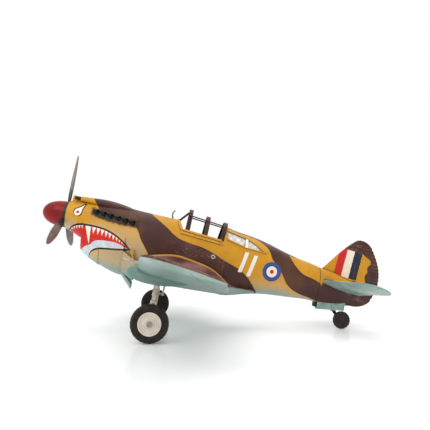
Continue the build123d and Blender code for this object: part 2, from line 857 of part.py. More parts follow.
GUN_SPACING = 13.0
with BuildPart() as wing_guns:
    for number, (muzzle, height) in enumerate([(106.0, 3.4), (110.0, 3.0), (115.0, 2.6)]):
        y = 94.0 + GUN_SPACING * number
        root_x, _, root_z = wing_edge(y)
        add(rod((muzzle, -y, root_z + height), (root_x + 6.0, -y, root_z + height - 2.4), 1.1))
    add(wing_outer, mode=Mode.SUBTRACT)
finish_both("wing_guns", wing_guns)

# ---------------------------------------------------------------- main undercarriage
LEG_TOP = -47.0
STRUT_END = -68.0
LEG_RADIUS = 2.8
OLEO_RADIUS = 2.3
KNUCKLE_RADIUS = 3.3
leg_x, wheel_y, axle_z = MAIN_WHEEL

with BuildPart() as leg:
    add(rod((leg_x, -MAIN_LEG_Y, LEG_TOP), (leg_x, -MAIN_LEG_Y, STRUT_END), LEG_RADIUS))
    add(rod((leg_x, -MAIN_LEG_Y, STRUT_END), (leg_x, -MAIN_LEG_Y, STRUT_END - 4.0), OLEO_RADIUS))
    add(rod((leg_x, -MAIN_LEG_Y, STRUT_END - 4.0), (leg_x, -MAIN_LEG_Y, axle_z - 3.4), KNUCKLE_RADIUS))
    add(rod((leg_x + 2.0, -MAIN_LEG_Y, -64.4), (leg_x + 6.4, -MAIN_LEG_Y, -64.4), 1.0))
    fillet(leg.edges().filter_by(GeomType.CIRCLE).group_by(Axis.Z)[0], radius=1.2)
    with BuildSketch(Plane.XZ):
        with Locations((leg_x, axle_z)):
            Circle(AXLE_RADIUS)
    extrude(amount=MAIN_LEG_Y + 10.0, mode=Mode.SUBTRACT)
leg_solid = leg.part

with BuildPart() as brace:
    add(rod((leg_x + 8.8, -MAIN_LEG_Y, -48.0), (leg_x + 7.3, -MAIN_LEG_Y, -64.4), 1.0))
    with Locations((leg_x + 7.3, -MAIN_LEG_Y, -64.6)):
        Sphere(1.7)
    add(leg_solid, mode=Mode.SUBTRACT)

axle_end = wheel_y + MAIN_WIDTH / 2 + 1.1
with BuildPart() as axle:
    add(rod((leg_x, 3.4 - MAIN_LEG_Y, axle_z), (leg_x, -axle_end, axle_z), AXLE_RADIUS))
    add(rod((leg_x, 1.0 - axle_end, axle_z), (leg_x, -axle_end, axle_z), AXLE_RADIUS + 0.9))
    add(leg_solid, mode=Mode.SUBTRACT)
finish_both("gear_legs", leg)
finish_both("gear_braces", brace)
finish_both("main_axles", axle)

with BuildPart() as leg_room:
    add([leg_solid, brace.part])
for name, halving, others in (
    ("wing_upper_skin", Mode.SUBTRACT, [front_outer, rear_outer, wing_spar.part]),
    ("wing_lower_skin", Mode.INTERSECT, [front_outer, rear_outer, wing_spar.part, leg_room.part]),
):
    with BuildPart() as skin:
        add(wing_outer)
        add(wing_inner, mode=Mode.SUBTRACT)
        add(under_chord.part, mode=halving)
        add(others, mode=Mode.SUBTRACT)
    finish_pair(name, skin)

with BuildPart() as pod_socketed:
    add(gear_pod.part)
    add([leg_solid, brace.part], mode=Mode.SUBTRACT)
finish_both("gear_pods", pod_socketed)

# ---------------------------------------------------------------- wheels
def tyre(centre, radius, width, hub_radius):
    """A fat rubber ring with rounded shoulders and two grooves round its tread."""
    x, y, z = centre
    with BuildPart() as ring:
        with BuildSketch(Plane(origin=(x, y, z), x_dir=(1, 0, 0), z_dir=(0, 0, 1))):
            with Locations(((radius + hub_radius) / 2, 0)):
                RectangleRounded(radius - hub_radius, width, 0.3 * width)
            for across in (-0.17 * width, 0.17 * width):
                with Locations((radius, across)):
                    Rectangle(0.06 * radius, 0.08 * width, mode=Mode.SUBTRACT)
        revolve(axis=Axis((x, y, z), (0, 1, 0)))
    return ring


def wheel_hub(centre, width, hub_radius, bore, outward):
    """A disc with a raised rim and cap on the side that faces away from the leg."""
    x, y, z = centre
    half = width / 2
    face = half - 0.9
    profile = [
        (bore, -half + 0.6),
        (bore, half - 0.2),
        (0.42 * hub_radius, half - 0.2),
        (0.46 * hub_radius, face),
        (0.84 * hub_radius, face),
        (0.88 * hub_radius, half - 0.3),
        (hub_radius - 0.02, half - 0.3),
        (hub_radius - 0.02, -half + 1.2),
        (0.5 * hub_radius, -half + 1.2),
        (0.5 * hub_radius, -half + 0.6),
    ]
    with BuildPart() as disc:
        with BuildSketch(Plane(origin=(x, y, z), x_dir=(1, 0, 0), z_dir=(0, 0, 1))):
            with BuildLine():
                Polyline(*[(r, outward * across) for r, across in profile], close=True)
            make_face()
        revolve(axis=Axis((x, y, z), (0, 1, 0)))
    return disc


port_wheel_centre = (leg_x, -wheel_y, axle_z)
finish_pair("tyre", tyre(port_wheel_centre, MAIN_RADIUS, MAIN_WIDTH, MAIN_HUB_RADIUS))
finish_pair(
    "wheel_hub",
    wheel_hub(port_wheel_centre, MAIN_WIDTH, MAIN_HUB_RADIUS, AXLE_RADIUS + RUNNING_GAP, -1),
)
finish("tail_tyre", tyre(TAIL_WHEEL, TAIL_RADIUS, TAIL_WIDTH, TAIL_HUB_RADIUS))
finish(
    "tail_wheel_hub",
    wheel_hub(TAIL_WHEEL, TAIL_WIDTH, TAIL_HUB_RADIUS, TAIL_AXLE_RADIUS + RUNNING_GAP, -1),
)

# ---------------------------------------------------------------- tail wheel mounting
tail_x, _, tail_z = TAIL_WHEEL
FORK_Y = TAIL_WIDTH / 2 + 0.5
FORK_THICK = 1.3
FORK_TOP = -57.0

with BuildPart() as tail_wheel_box:
    with BuildSketch(Plane.XZ):
        add(side_profile([(334.6, -40.0), (334.8, -59.5), (368.3, -56.6), (369.0, -40.0)]))
    extrude(amount=3.7, both=True)
    add([rear_outer, tail_outer], mode=Mode.SUBTRACT)
finish("tail_wheel_box", tail_wheel_box)

with BuildPart() as tail_box_stop:
    with BuildSketch(Plane.XZ):
        add(side_profile([(330.4, -40.0), (330.6, -57.0), (334.5, -57.3), (334.5, -40.0)]))
    extrude(amount=3.0, both=True)
    add([rear_outer, tail_outer], mode=Mode.SUBTRACT)
finish("tail_box_stop", tail_box_stop)

with BuildPart() as tail_fork:
    with BuildSketch(Plane.XZ.offset(-FORK_Y)):
        with BuildLine():
            Polyline(
                (354.0, FORK_TOP),
                (359.6, FORK_TOP),
                (tail_x + 1.9, tail_z),
                (tail_x - 1.9, tail_z - 1.2),
                close=True,
            )
        make_face()
        with Locations((tail_x, tail_z)):
            Circle(2.0)
    extrude(amount=-FORK_THICK)
    with BuildSketch(Plane.XY.offset(FORK_TOP)):
        with Locations((356.8, (FORK_Y + FORK_THICK) / 2)):
            Rectangle(5.6, FORK_Y + FORK_THICK)
    extrude(amount=-2.0)
    with BuildSketch(Plane.XZ):
        with Locations((tail_x, tail_z)):
            Circle(TAIL_AXLE_RADIUS)
    extrude(amount=-20.0, mode=Mode.SUBTRACT)
    add(tail_wheel_box.part, mode=Mode.SUBTRACT)
finish("tail_fork", tail_fork)

with BuildPart() as tail_axle:
    far_end = (tail_x, FORK_Y + FORK_THICK + 0.6, tail_z)
    near_end = (tail_x, -TAIL_WIDTH / 2 - 1.0, tail_z)
    add(rod(far_end, near_end, TAIL_AXLE_RADIUS))
    add(rod((tail_x, -TAIL_WIDTH / 2 - 0.2, tail_z), near_end, TAIL_AXLE_RADIUS + 0.7))
finish("tail_axle", tail_axle)

# ---------------------------------------------------------------- fin and rudder
HINGE_X = 374.6
HINGE_GAP = 0.4


def upright_lens(outline):
    """A surface standing in the plane of symmetry: thin at its edges and thicker at the hinge."""
    with BuildPart() as panel:
        with BuildSketch(Plane.XZ):
            add(outline)
        extrude(amount=6.0, both=True)
        with BuildSketch(Plane.XY.offset(-70.0)):
            with BuildLine():
                Polyline(
                    (334.0, 0.9),
                    (352.0, 2.2),
                    (HINGE_X, 2.7),
                    (409.0, 0.6),
                    (409.0, -0.6),
                    (HINGE_X, -2.7),
                    (352.0, -2.2),
                    (334.0, -0.9),
                    close=True,
                )
            make_face()
        extrude(amount=120.0, mode=Mode.INTERSECT)
    return panel


with BuildSketch(Plane.XZ) as fin_outline:
    with BuildLine():
        Line((336.4, -9.0), (338.5, -7.7))
        Spline((338.5, -7.7), (351.6, 7.7), (362.8, 19.7), (HINGE_X, 29.8))
        Line((HINGE_X, 29.8), (HINGE_X, -22.0))
        Polyline((HINGE_X, -22.0), (336.4, -14.0), (336.4, -9.0))
    make_face()
with BuildPart() as fin:
    add(upright_lens(fin_outline.sketch).part)
    add([rear_outer, tail_outer], mode=Mode.SUBTRACT)
finish("fin", fin)

rudder_front = HINGE_X + HINGE_GAP
SCALLOPS = 15
SCALLOP_DEPTH = 0.8
SCALLOP_RADIUS = 3.9
# The scallops run down the trailing edge between these shares of its length.
SCALLOP_RANGE = (0.2, 0.74)
with BuildSketch(Plane.XZ) as rudder_outline:
    with BuildLine():
        trailing = Spline(
            (rudder_front, 29.9),
            (382.9, 30.0),
            (391.4, 25.3),
            (398.8, 15.2),
            (404.5, 3.5),
            (407.6, -9.5),
            (407.0, -22.0),
            (404.0, -32.0),
            (399.0, -41.4),
            (391.0, -47.2),
            (382.0, -49.6),
            (rudder_front, -49.6),
        )
        Line((rudder_front, -49.6), (rudder_front, 29.9))
    make_face()
    for number in range(SCALLOPS):
        first, last = SCALLOP_RANGE
        share = first + (last - first) * number / (SCALLOPS - 1)
        edge = trailing @ share
        course = trailing % share
        away = SCALLOP_RADIUS - SCALLOP_DEPTH
        with Locations((edge.X - away * course.Y, edge.Y + away * course.X)):
            Circle(SCALLOP_RADIUS, mode=Mode.SUBTRACT)
with BuildPart() as rudder:
    add(upright_lens(rudder_outline.sketch).part)
    add(tail_outer, mode=Mode.SUBTRACT)
finish("rudder", rudder)

# ---------------------------------------------------------------- tailplane and elevators
TAIL_SPAN = 82.5
TAIL_INCIDENCE = 11.5
TAIL_DIHEDRAL = 8.0
TAILPLANE_AXIS = (334.0, 10.0, -25.0)      # a point its middle plane passes through
ELEVATOR_HINGE = 371.0
# Tailplane sections are (distance out, leading edge x, chord, height above it, depth below it).
TAIL_SECTIONS = [(4.0, 332.0, 55.0, 3.4, 3.0), (86.0, 360.4, 31.0, 1.2, 1.1)]

with BuildPart() as tail_block:
    for y, front, chord, upper, lower in TAIL_SECTIONS:
        axis_x, axis_y, axis_z = TAILPLANE_AXIS
        drop = (front - axis_x) * math.tan(math.radians(TAIL_INCIDENCE))
        height = axis_z - drop + (y - axis_y) * math.tan(math.radians(TAIL_DIHEDRAL))
        edge = (front, -y, height)
        with BuildSketch(Plane(origin=edge, x_dir=run_at(TAIL_INCIDENCE), z_dir=(0, -1, 0))):
            add(airfoil(chord, upper, lower, 1.0))
    loft(ruled=True)
    with BuildSketch(Plane.XY.offset(-60.0)):
        with BuildLine():
            Line((330.0, 0), (330.0, -2.0))
            Line((330.0, -2.0), (352.5, -62.0))
            Bezier((352.5, -62.0), (357.5, -73.0), (366.0, -TAIL_SPAN), (375.0, -TAIL_SPAN))
            Bezier((375.0, -TAIL_SPAN), (384.0, -TAIL_SPAN), (390.5, -77.0), (390.0, -66.0))
            Spline((390.0, -66.0), (387.4, -54.0), (384.2, -38.0), (382.8, -20.0), (382.4, 0))
            Line((382.4, 0), (330.0, 0))
        make_face()
    extrude(amount=60.0, mode=Mode.INTERSECT)

for name, front, rear, inner in (
    ("tailplanes", 320.0, ELEVATOR_HINGE - HINGE_GAP / 2, 0.0),
    ("elevators", ELEVATOR_HINGE + HINGE_GAP / 2, 410.0, 8.0),
):
    with BuildPart() as panel:
        add(tail_block.part)
        with BuildSketch(Plane.XY.offset(-60.0)):
            with Locations((front, -inner)):
                Rectangle(rear - front, 100.0, align=(Align.MIN, Align.MAX))
        extrude(amount=60.0, mode=Mode.INTERSECT)
        add([rear_outer, tail_outer, fin.part, rudder.part], mode=Mode.SUBTRACT)
    finish_both(name, panel)

# ---------------------------------------------------------------- standing on its wheels
main_x, main_y, main_z = MAIN_WHEEL
step_x = tail_x - main_x
step_z = tail_z - main_z
attitude = math.degrees(
    math.asin((MAIN_RADIUS - TAIL_RADIUS) / math.hypot(step_x, step_z)) + math.atan2(step_z, step_x)
)
standing = {name: piece.rotate(Axis.Y, attitude) for name, piece in finished.items()}
boxes = [piece.bounding_box() for piece in standing.values()]
lift = -min(box.min.Z for box in boxes)
middle_x = (min(box.min.X for box in boxes) + max(box.max.X for box in boxes)) / 2
onto_ground = Location((-middle_x, 0, lift))

for name, piece in standing.items():
    placed = piece.moved(onto_ground)
    placed.label = name
    export_step(placed, f"parts/{name}.step")


def on_ground(point):
    """Where a point of the aircraft's own frame ends up."""
    return onto_ground.position + Vector(*point).rotate(Axis.Y, attitude)


print("attitude", round(attitude, 4))
print("spinner tip", on_ground((0, 0, 0)))
print("thrust line", Vector(1, 0, 0).rotate(Axis.Y, attitude))
print("main wheels", on_ground((main_x, -main_y, main_z)), on_ground((main_x, main_y, main_z)))
print("tail wheel", on_ground(TAIL_WHEEL))
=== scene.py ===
"""Looks of the propeller plane model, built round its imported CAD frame.

Paint is laid out in the aircraft's own frame, in millimetres: x runs aft from the spinner's tip
along the thrust line, y to starboard and z up.  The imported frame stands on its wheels, in metres.
"""
import json
import math

import bmesh
import bpy
from mathutils import Euler, Matrix, Vector
from mathutils.bvhtree import BVHTree


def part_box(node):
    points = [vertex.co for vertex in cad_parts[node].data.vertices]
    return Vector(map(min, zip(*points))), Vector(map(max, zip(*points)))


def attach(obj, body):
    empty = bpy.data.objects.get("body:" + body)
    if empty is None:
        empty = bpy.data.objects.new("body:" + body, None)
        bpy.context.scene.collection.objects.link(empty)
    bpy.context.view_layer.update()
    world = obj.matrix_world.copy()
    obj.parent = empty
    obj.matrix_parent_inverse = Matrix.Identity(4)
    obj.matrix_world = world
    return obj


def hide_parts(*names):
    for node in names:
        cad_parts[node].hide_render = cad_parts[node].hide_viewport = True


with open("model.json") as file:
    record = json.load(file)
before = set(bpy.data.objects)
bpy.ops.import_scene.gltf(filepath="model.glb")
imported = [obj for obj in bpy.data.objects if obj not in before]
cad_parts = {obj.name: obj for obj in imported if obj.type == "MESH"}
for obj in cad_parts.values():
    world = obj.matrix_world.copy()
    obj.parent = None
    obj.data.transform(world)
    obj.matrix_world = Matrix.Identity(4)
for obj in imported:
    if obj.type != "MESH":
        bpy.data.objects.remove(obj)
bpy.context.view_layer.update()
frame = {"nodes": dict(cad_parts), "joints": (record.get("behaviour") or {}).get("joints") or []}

MM = 0.001
HUB_X = 26.6           # from the spinner's tip to the place of the propeller's joint
joints = {joint["child"]: joint for joint in frame["joints"]}

# ---------------------------------------------------------------- the aircraft's own frame
AFT = Vector(joints["propeller"]["axis"])
STARBOARD = Vector((0.0, 1.0, 0.0))
UP = AFT.cross(STARBOARD)
NOSE = Vector(joints["propeller"]["pos_m"]) - AFT * HUB_X * MM
TO_ROW = Matrix((AFT, STARBOARD, UP)).transposed()


def row(x, y, z):
    """A place in the aircraft's frame, in mm, as a point of the row frame, in metres."""
    return NOSE + TO_ROW @ Vector((x, y, z)) * MM


# ---------------------------------------------------------------- colours
def colour(red, green, blue):
    """A linear colour from the usual 0 to 255 values."""
    return (*[(value / 255) ** 2.2 for value in (red, green, blue)], 1.0)


OCHRE = colour(200, 142, 26)
DEEP_OCHRE = colour(176, 118, 30)
SAND = colour(196, 170, 122)
SMOKE = colour(168, 158, 134)
BROWN = colour(66, 37, 33)
DARK_BROWN = colour(52, 30, 28)
RUBBED_BROWN = colour(150, 108, 102)
SKY = colour(138, 162, 154)
DEEP_SKY = colour(98, 130, 122)
PALE_SKY = colour(188, 204, 198)
BLACK = colour(8, 8, 8)
CREVICE_SHADE_AND_GRIME = colour(30, 27, 25)
MOUTH_RED = colour(200, 26, 24)
LIP_BLUE = colour(190, 204, 214)
TOOTH = colour(232, 228, 216)
SIGNAL_RED = colour(196, 34, 34)
RING_BLUE = colour(24, 70, 140)
CREAM = colour(236, 226, 206)
NAVY = colour(24, 38, 60)
BARE_METAL = colour(196, 182, 160)
DIRT_AND_SHADE = colour(56, 40, 28)


# ---------------------------------------------------------------- painting with nodes
PAINT_SPECULAR = 0.3   # thin brushed enamel shines less than plastic
RAY_SAMPLES = 4        # of the nodes that look for edges and crevices
SHARP = 0.97           # cosine of the turn above which an edge counts as sharp


class Field:
    """A number that varies over a surface.  Arithmetic on it adds Math nodes."""

    def __init__(self, tree, socket):
        self.tree = tree
        self.socket = socket

    def math(self, operation, *others, clamp=False):
        node = self.tree.nodes.new("ShaderNodeMath")
        node.operation = operation
        node.use_clamp = clamp
        for index, value in enumerate((self, *others)):
            if isinstance(value, Field):
                self.tree.links.new(value.socket, node.inputs[index])
            else:
                node.inputs[index].default_value = value
        return Field(self.tree, node.outputs[0])

    def __add__(self, other):
        return self.math("ADD", other)

    def __sub__(self, other):
        return self.math("SUBTRACT", other)

    def __mul__(self, other):
        return self.math("MULTIPLY", other)

    def __truediv__(self, other):
        return self.math("DIVIDE", other)

    def __neg__(self):
        return self.math("MULTIPLY", -1.0)

    def __invert__(self):
        """The rest of a mask: 1 where it is 0."""
        return (self * -1.0) + 1.0

    def __or__(self, other):
        return self.math("MAXIMUM", other)

    def size(self):
        return self.math("ABSOLUTE")

    def step(self, edge, soft=0.25):
        """A mask: 0 below edge and 1 above it, blurred by soft on each side."""
        if isinstance(edge, Field):
            return (self - edge).step(0.0, soft)
        node = self.tree.nodes.new("ShaderNodeMapRange")
        node.interpolation_type = "SMOOTHSTEP"
        node.inputs["From Min"].default_value = edge - soft
        node.inputs["From Max"].default_value = edge + soft
        self.tree.links.new(self.socket, node.inputs["Value"])
        return Field(self.tree, node.outputs["Result"])

    def within(self, low, high, soft=0.25):
        """A mask: 1 between low and high."""
        return self.step(low, soft) * ~self.step(high, soft)


def distance(first, second):
    """How far a place is from a centre, from its distances along two axes."""
    return (first * first + second * second).math("SQRT")


class Paint:
    """A material under construction, with the places that its patterns are drawn from."""

    def __init__(self, name):
        self.material = bpy.data.materials.new(name)
        self.material.use_nodes = True
        self.tree = self.material.node_tree
        self.shader = self.tree.nodes["Principled BSDF"]
        self.shader.inputs["Specular IOR Level"].default_value = PAINT_SPECULAR
        self.coordinates = self.node("ShaderNodeTexCoord")
        self.place = self.aircraft_place()
        self.x, self.y, self.z = self.split(self.place)
        self.heights = []
        self.colour = None

    def node(self, kind, **settings):
        made = self.tree.nodes.new(kind)
        for name, value in settings.items():
            setattr(made, name, value)
        return made

    def join(self, source, target):
        """Joins a socket, field, colour or number to a node's input."""
        if isinstance(source, Field):
            source = source.socket
        if isinstance(source, bpy.types.NodeSocket):
            self.tree.links.new(source, target)
        else:
            target.default_value = source

    def aircraft_place(self):
        """The surface's own place in the aircraft's frame, in mm."""
        mapping = self.node("ShaderNodeMapping")
        turn = TO_ROW.transposed()
        mapping.inputs["Rotation"].default_value = turn.to_euler()
        mapping.inputs["Scale"].default_value = (1 / MM, 1 / MM, 1 / MM)
        mapping.inputs["Location"].default_value = turn @ NOSE / -MM
        self.join(self.coordinates.outputs["Object"], mapping.inputs["Vector"])
        return mapping.outputs["Vector"]

    def split(self, vector):
        parts = self.node("ShaderNodeSeparateXYZ")
        self.join(vector, parts.inputs[0])
        return [Field(self.tree, socket) for socket in parts.outputs]

    def through(self, field, points):
        """The height, at field, of a smooth line through points."""
        starts = [point[0] for point in points]
        heights = [point[1] for point in points]
        run = max(starts) - min(starts)
        rise = max(heights) - min(heights)
        node = self.node("ShaderNodeFloatCurve")
        line = node.mapping.curves[0]
        spots = [((start - min(starts)) / run, (height - min(heights)) / rise)
                 for start, height in sorted(points)]
        line.points[0].location = spots[0]
        line.points[1].location = spots[-1]
        for spot in spots[1:-1]:
            line.points.new(*spot)
        for point in line.points:
            point.handle_type = "AUTO_CLAMPED"
        node.mapping.update()
        self.join((field - min(starts)) / run, node.inputs["Value"])
        return Field(self.tree, node.outputs["Value"]) * rise + min(heights)

    def noise(self, size, detail=3.0, stretch=(1, 1, 1), seed=0.0):
        """Soft noise, 0 to 1, with blotches about size mm across."""
        mapping = self.node("ShaderNodeMapping")
        mapping.inputs["Location"].default_value = (seed, seed, seed)
        mapping.inputs["Scale"].default_value = [1 / (size * share) for share in stretch]
        self.join(self.place, mapping.inputs["Vector"])
        node = self.node("ShaderNodeTexNoise")
        node.inputs["Scale"].default_value = 1.0
        node.inputs["Detail"].default_value = detail
        self.join(mapping.outputs["Vector"], node.inputs["Vector"])
        return Field(self.tree, node.outputs["Fac"])

    def edges(self, radius=0.7):
        """A mask of sharp edges, about radius mm wide."""
        bevel = self.node("ShaderNodeBevel", samples=RAY_SAMPLES)
        bevel.inputs["Radius"].default_value = radius * MM
        geometry = self.node("ShaderNodeNewGeometry")
        dot = self.node("ShaderNodeVectorMath", operation="DOT_PRODUCT")
        self.join(bevel.outputs[0], dot.inputs[0])
        self.join(geometry.outputs["Normal"], dot.inputs[1])
        return ~Field(self.tree, dot.outputs["Value"]).step(SHARP, 0.02)

    def crevices(self, reach=4.0):
        """A mask of corners that light hardly reaches, reach mm deep, for painted shade and dirt
        there.
        """
        node = self.node("ShaderNodeAmbientOcclusion", samples=RAY_SAMPLES)
        node.inputs["Distance"].default_value = reach * MM
        return ~Field(self.tree, node.outputs["AO"])

    def facing(self):
        """How much the surface faces up, -1 to 1."""
        return self.split(self.coordinates.outputs["Normal"])[2]

    def mix(self, under, over, mask):
        node = self.node("ShaderNodeMix", data_type="RGBA")
        self.join(mask, node.inputs[0])
        self.join(under, node.inputs[6])
        self.join(over, node.inputs[7])
        return node.outputs[2]

    def coat(self, over, mask=1.0):
        """Lays one more colour over what is there."""
        self.colour = over if self.colour is None else self.mix(self.colour, over, mask)

    def relief(self, height, distance):
        """Adds a height field, 0 to 1, that stands distance mm proud."""
        self.heights.append(height * distance)

    def done(self, roughness, metallic=0.0):
        """Joins the colour, gloss and relief to the shader, and gives the finished material."""
        self.join(self.colour, self.shader.inputs["Base Color"])
        self.join(roughness, self.shader.inputs["Roughness"])
        self.join(metallic, self.shader.inputs["Metallic"])
        if self.heights:
            total = self.heights[0]
            for height in self.heights[1:]:
                total = total + height
            bump = self.node("ShaderNodeBump")
            bump.inputs["Strength"].default_value = 1.0
            bump.inputs["Distance"].default_value = MM
            self.join(total, bump.inputs["Height"])
            self.join(bump.outputs["Normal"], self.shader.inputs["Normal"])
        return self.material


BRUSHED_GLOSS = 0.38   # middle of the roughness that brushed_on gives


def brushed_on(paint, corner_shade_and_dirt=0.5, wear=0.5, dents=0.12):
    """What every hand-painted sheet shares: uneven colour, dents, brush marks, worn edges, dirt,
    painted shade.
    """
    patches = paint.noise(38.0, 2.0, seed=3.0)
    streaks = paint.noise(5.0, 4.0, (6.0, 1.0, 1.0), seed=9.0)
    grain = paint.noise(0.9, 3.0, seed=5.0)
    paint.coat(DEEP_OCHRE, patches.step(0.62, 0.14) * 0.10)
    paint.coat(DIRT_AND_SHADE, (streaks.step(0.66, 0.1) * grain.step(0.5, 0.2)) * 0.16)
    # painted shade: the dark dirt colour laid in the corners that ambient occlusion finds
    paint.coat(DIRT_AND_SHADE, (paint.crevices() * corner_shade_and_dirt).math("MULTIPLY", 1.0, clamp=True))
    rub = paint.edges() * (grain + streaks).step(0.98, 0.16) * wear
    paint.coat(BARE_METAL, rub.math("MULTIPLY", 1.0, clamp=True))
    paint.relief(paint.noise(13.0, 1.0, seed=7.0), dents * 2)
    paint.relief(streaks, 0.05)
    paint.relief(grain, 0.03)
    return (streaks * 0.16) + (grain * 0.12) + 0.24


# ---------------------------------------------------------------- fuselage paint
# The brown bands' edges are lines of (z, x) points, and every other line is of (x, z) points.
BAND_FRONT = [(-60, 142), (-27, 126.5), (-14, 117), (-1, 108), (9.5, 68), (16, 61), (23, 56)]
BAND_REAR = [(-52, 259), (-30, 235), (-22, 215), (-12, 190), (-6, 160), (6, 141), (17, 123.5),
             (24, 113)]
REAR_BAND_FRONT = [(-50, 331), (-40, 296), (-24, 282), (-9, 268.5), (0, 264), (12, 246), (20, 240)]
REAR_BAND_REAR = [(-34, 336), (-28, 330), (-21, 308), (-13, 298), (-1, 290), (8, 282)]
BELLY_LINE = [(28, -10), (40, -14), (48, -24), (60, -39), (80, -44), (100, -46), (122, -48),
              (136, -44), (150, -40), (206, -37), (222, -44), (226, -45), (246, -44.5), (262, -43),
              (285, -41), (300, -45), (330, -46.5), (375, -53)]
WING_ROOT = (130.0, 224.0)          # x where the body's underside between the wings is pale
SIDE_SEAMS = (234.0, 316.0)
TAIL_SEAM = 331.0
RUDDER_SEAM = 375.0
FIN_FOOT = [(332, -9.5), (345, -11.9), (352.6, -13.8), (358, -16.6), (371, -19.8), (376, -20.6)]


def camouflage_band(paint, x, front, rear):
    """A mask of a band of the body's paint, from its front line to its rear line."""
    after_front = x.step(paint.through(paint.z, front), 0.4)
    return after_front * ~x.step(paint.through(paint.z, rear), 0.4)


def rubbed_patches(paint):
    """A mask of the long patches where the brown has been rubbed."""
    return paint.noise(22.0, 3.0, (2.5, 1, 1), seed=6.0).step(0.62, 0.1)


def camouflage(paint):
    """Sand and brown bands over a sprayed pale belly."""
    wobble = (paint.noise(7.0, 2.0, seed=2.0) - 0.5) * 1.6
    x = paint.x + wobble
    z = paint.z
    front_band = camouflage_band(paint, x, BAND_FRONT, BAND_REAR)
    rear_band = camouflage_band(paint, x, REAR_BAND_FRONT, REAR_BAND_REAR)
    spine = ~(paint.y.size() + wobble).step(8.0, 0.5)
    spine_band = spine * x.within(216.0, 300.0, 0.5) * z.step(-4.0, 0.4)
    tail_band = x.step(333.6, 0.2) * ~z.step(-28.0, 0.5)
    brown = front_band | rear_band | spine_band | tail_band
    belly = paint.through(paint.x, BELLY_LINE) + wobble
    low = (belly - z) + (paint.noise(9.0, 3.0, seed=4.0) - 0.5) * 5.0
    nose = ~paint.x.step(128.0, 5.0)
    paint.coat(OCHRE)
    paint.coat(DEEP_OCHRE, paint.noise(17.0, 4.0, seed=11.0).step(0.55, 0.12) * 0.35)
    paint.coat(SAND, low.step(-7.0, 9.0) * (nose * 0.5 + 0.45))
    tan = paint.x.within(60.0, 126.0, 8.0) * ~z.step(-3.0, 6.0)
    paint.coat(SAND, tan * 0.62)
    smoked = paint.x.within(78.0, 124.0, 12.0) * ~z.step(-20.0, 9.0)
    paint.coat(SMOKE, smoked * 0.55)
    paint.coat(SKY, low.step(3.0, 6.5))
    paint.coat(BROWN, brown)
    paint.coat(RUBBED_BROWN, brown * rubbed_patches(paint) * 0.28)
    paint.coat(SKY, low.step(9.0, 1.5) * paint.x.step(225.0, 1.0))
    return brown


MOUTH_TOP = [(30, -19), (34.5, -16.3), (39.5, -11.8), (46, -9), (53, -8.2), (63, -8.4), (73, -9.4),
             (83.5, -12.3), (94.5, -17.8), (101.5, -22.8), (106.5, -27.4)]
MOUTH_RED_EDGE = [(50, -38), (52.6, -36), (56, -32.6), (63, -28.6), (66, -25), (70, -23.2),
                  (78, -22.2), (86, -22), (94, -23.2), (101, -25.8), (106.5, -27.4)]
MOUTH_BOTTOM = [(60.5, -52), (61.5, -44), (63, -39.4), (66, -35.2), (71.5, -32.3), (81, -30.8),
                (91, -29.8), (99, -28.8), (106.5, -27.4)]
# How long the teeth are, and how many there have been, at each x.
TOOTH_LENGTHS = [(34, 1.5), (42, 4.5), (50, 5.0), (53, 4.0), (62, 8.4), (72, 8.4), (83, 7.0),
                 (94, 4.2), (104, 1.0)]
TOOTH_COUNT = [(34, 0), (52, 6), (61.5, 8), (70, 9.7), (80, 11.9), (90, 14.3), (98, 16.7),
               (106.5, 20)]
FANG_TIP = (60.6, -28.0)
FANG_TOP = -8.0        # z of the long tooth's upper end, with x of its left and right corners there
FANG_LEFT = 53.6
FANG_RIGHT = 60.2
FANG_BLUNT = 0.5       # how wide its tip is
CHIN_CORNER = 60.5     # x where the lower line turns down over the chin


def mouth(paint):
    """A plain saw-toothed mouth: dark outline, red inside, white teeth from the top, pale lip."""
    x = paint.x
    z = paint.z
    top = paint.through(x, MOUTH_TOP)
    bottom = paint.through(x, MOUTH_BOTTOM)
    down = top - z
    behind_chin = x.step(CHIN_CORNER, 0.1)
    above_bottom = (z - bottom).step(0.0, 0.2) | ~behind_chin
    open_part = down.step(0.0, 0.2) * above_bottom * x.within(20.0, 107.0, 0.2)
    red = open_part * (z - paint.through(x, MOUTH_RED_EDGE)).step(0.0, 0.25)
    saw = paint.through(x, TOOTH_COUNT).math("PINGPONG", 0.5) * 2.0
    teeth = ((saw * paint.through(x, TOOTH_LENGTHS)) - down).step(0.0, 0.2)
    teeth = teeth * ~x.within(52.4, 61.0, 0.2)
    share = (-z + FANG_TOP) / (FANG_TOP - FANG_TIP[1])
    fang_left = share * (FANG_TIP[0] - FANG_LEFT) + FANG_LEFT
    fang_right = share * (FANG_TIP[0] + FANG_BLUNT - FANG_RIGHT) + FANG_RIGHT
    fang = (x - fang_left).step(0.0, 0.2) * (fang_right - x).step(0.0, 0.2) * ~share.step(1.0, 0.02)
    top_line = ~down.size().step(1.1, 0.15)
    bottom_line = ~(z - bottom).size().step(1.05, 0.15) * behind_chin
    paint.coat(LIP_BLUE, open_part)
    paint.coat(TOOTH, open_part * paint.noise(5.0, 2.0, seed=8.0).step(0.52, 0.1) * 0.5)
    paint.coat(MOUTH_RED, red)
    paint.coat(DEEP_OCHRE, red * paint.noise(2.4, 3.0, seed=1.0).step(0.62, 0.06) * 0.45)
    paint.coat(TOOTH, red * (teeth | fang))
    paint.coat(BLACK, (top_line | bottom_line) * x.within(33.5, 107.6, 0.3))


EYE = (42.0, 4.4)
EYE_LEAN = math.radians(32.0)      # of the drop's long axis from upright, towards the tail
PUPIL_RADIUS = 1.7
EYE_OUTLINE = [(-4.2, 0.0), (-3.5, 2.2), (-1.8, 3.6), (0.4, 4.0), (3.0, 3.0), (6.0, 1.5),
               (11.4, 0.1)]       # half width for a place along it


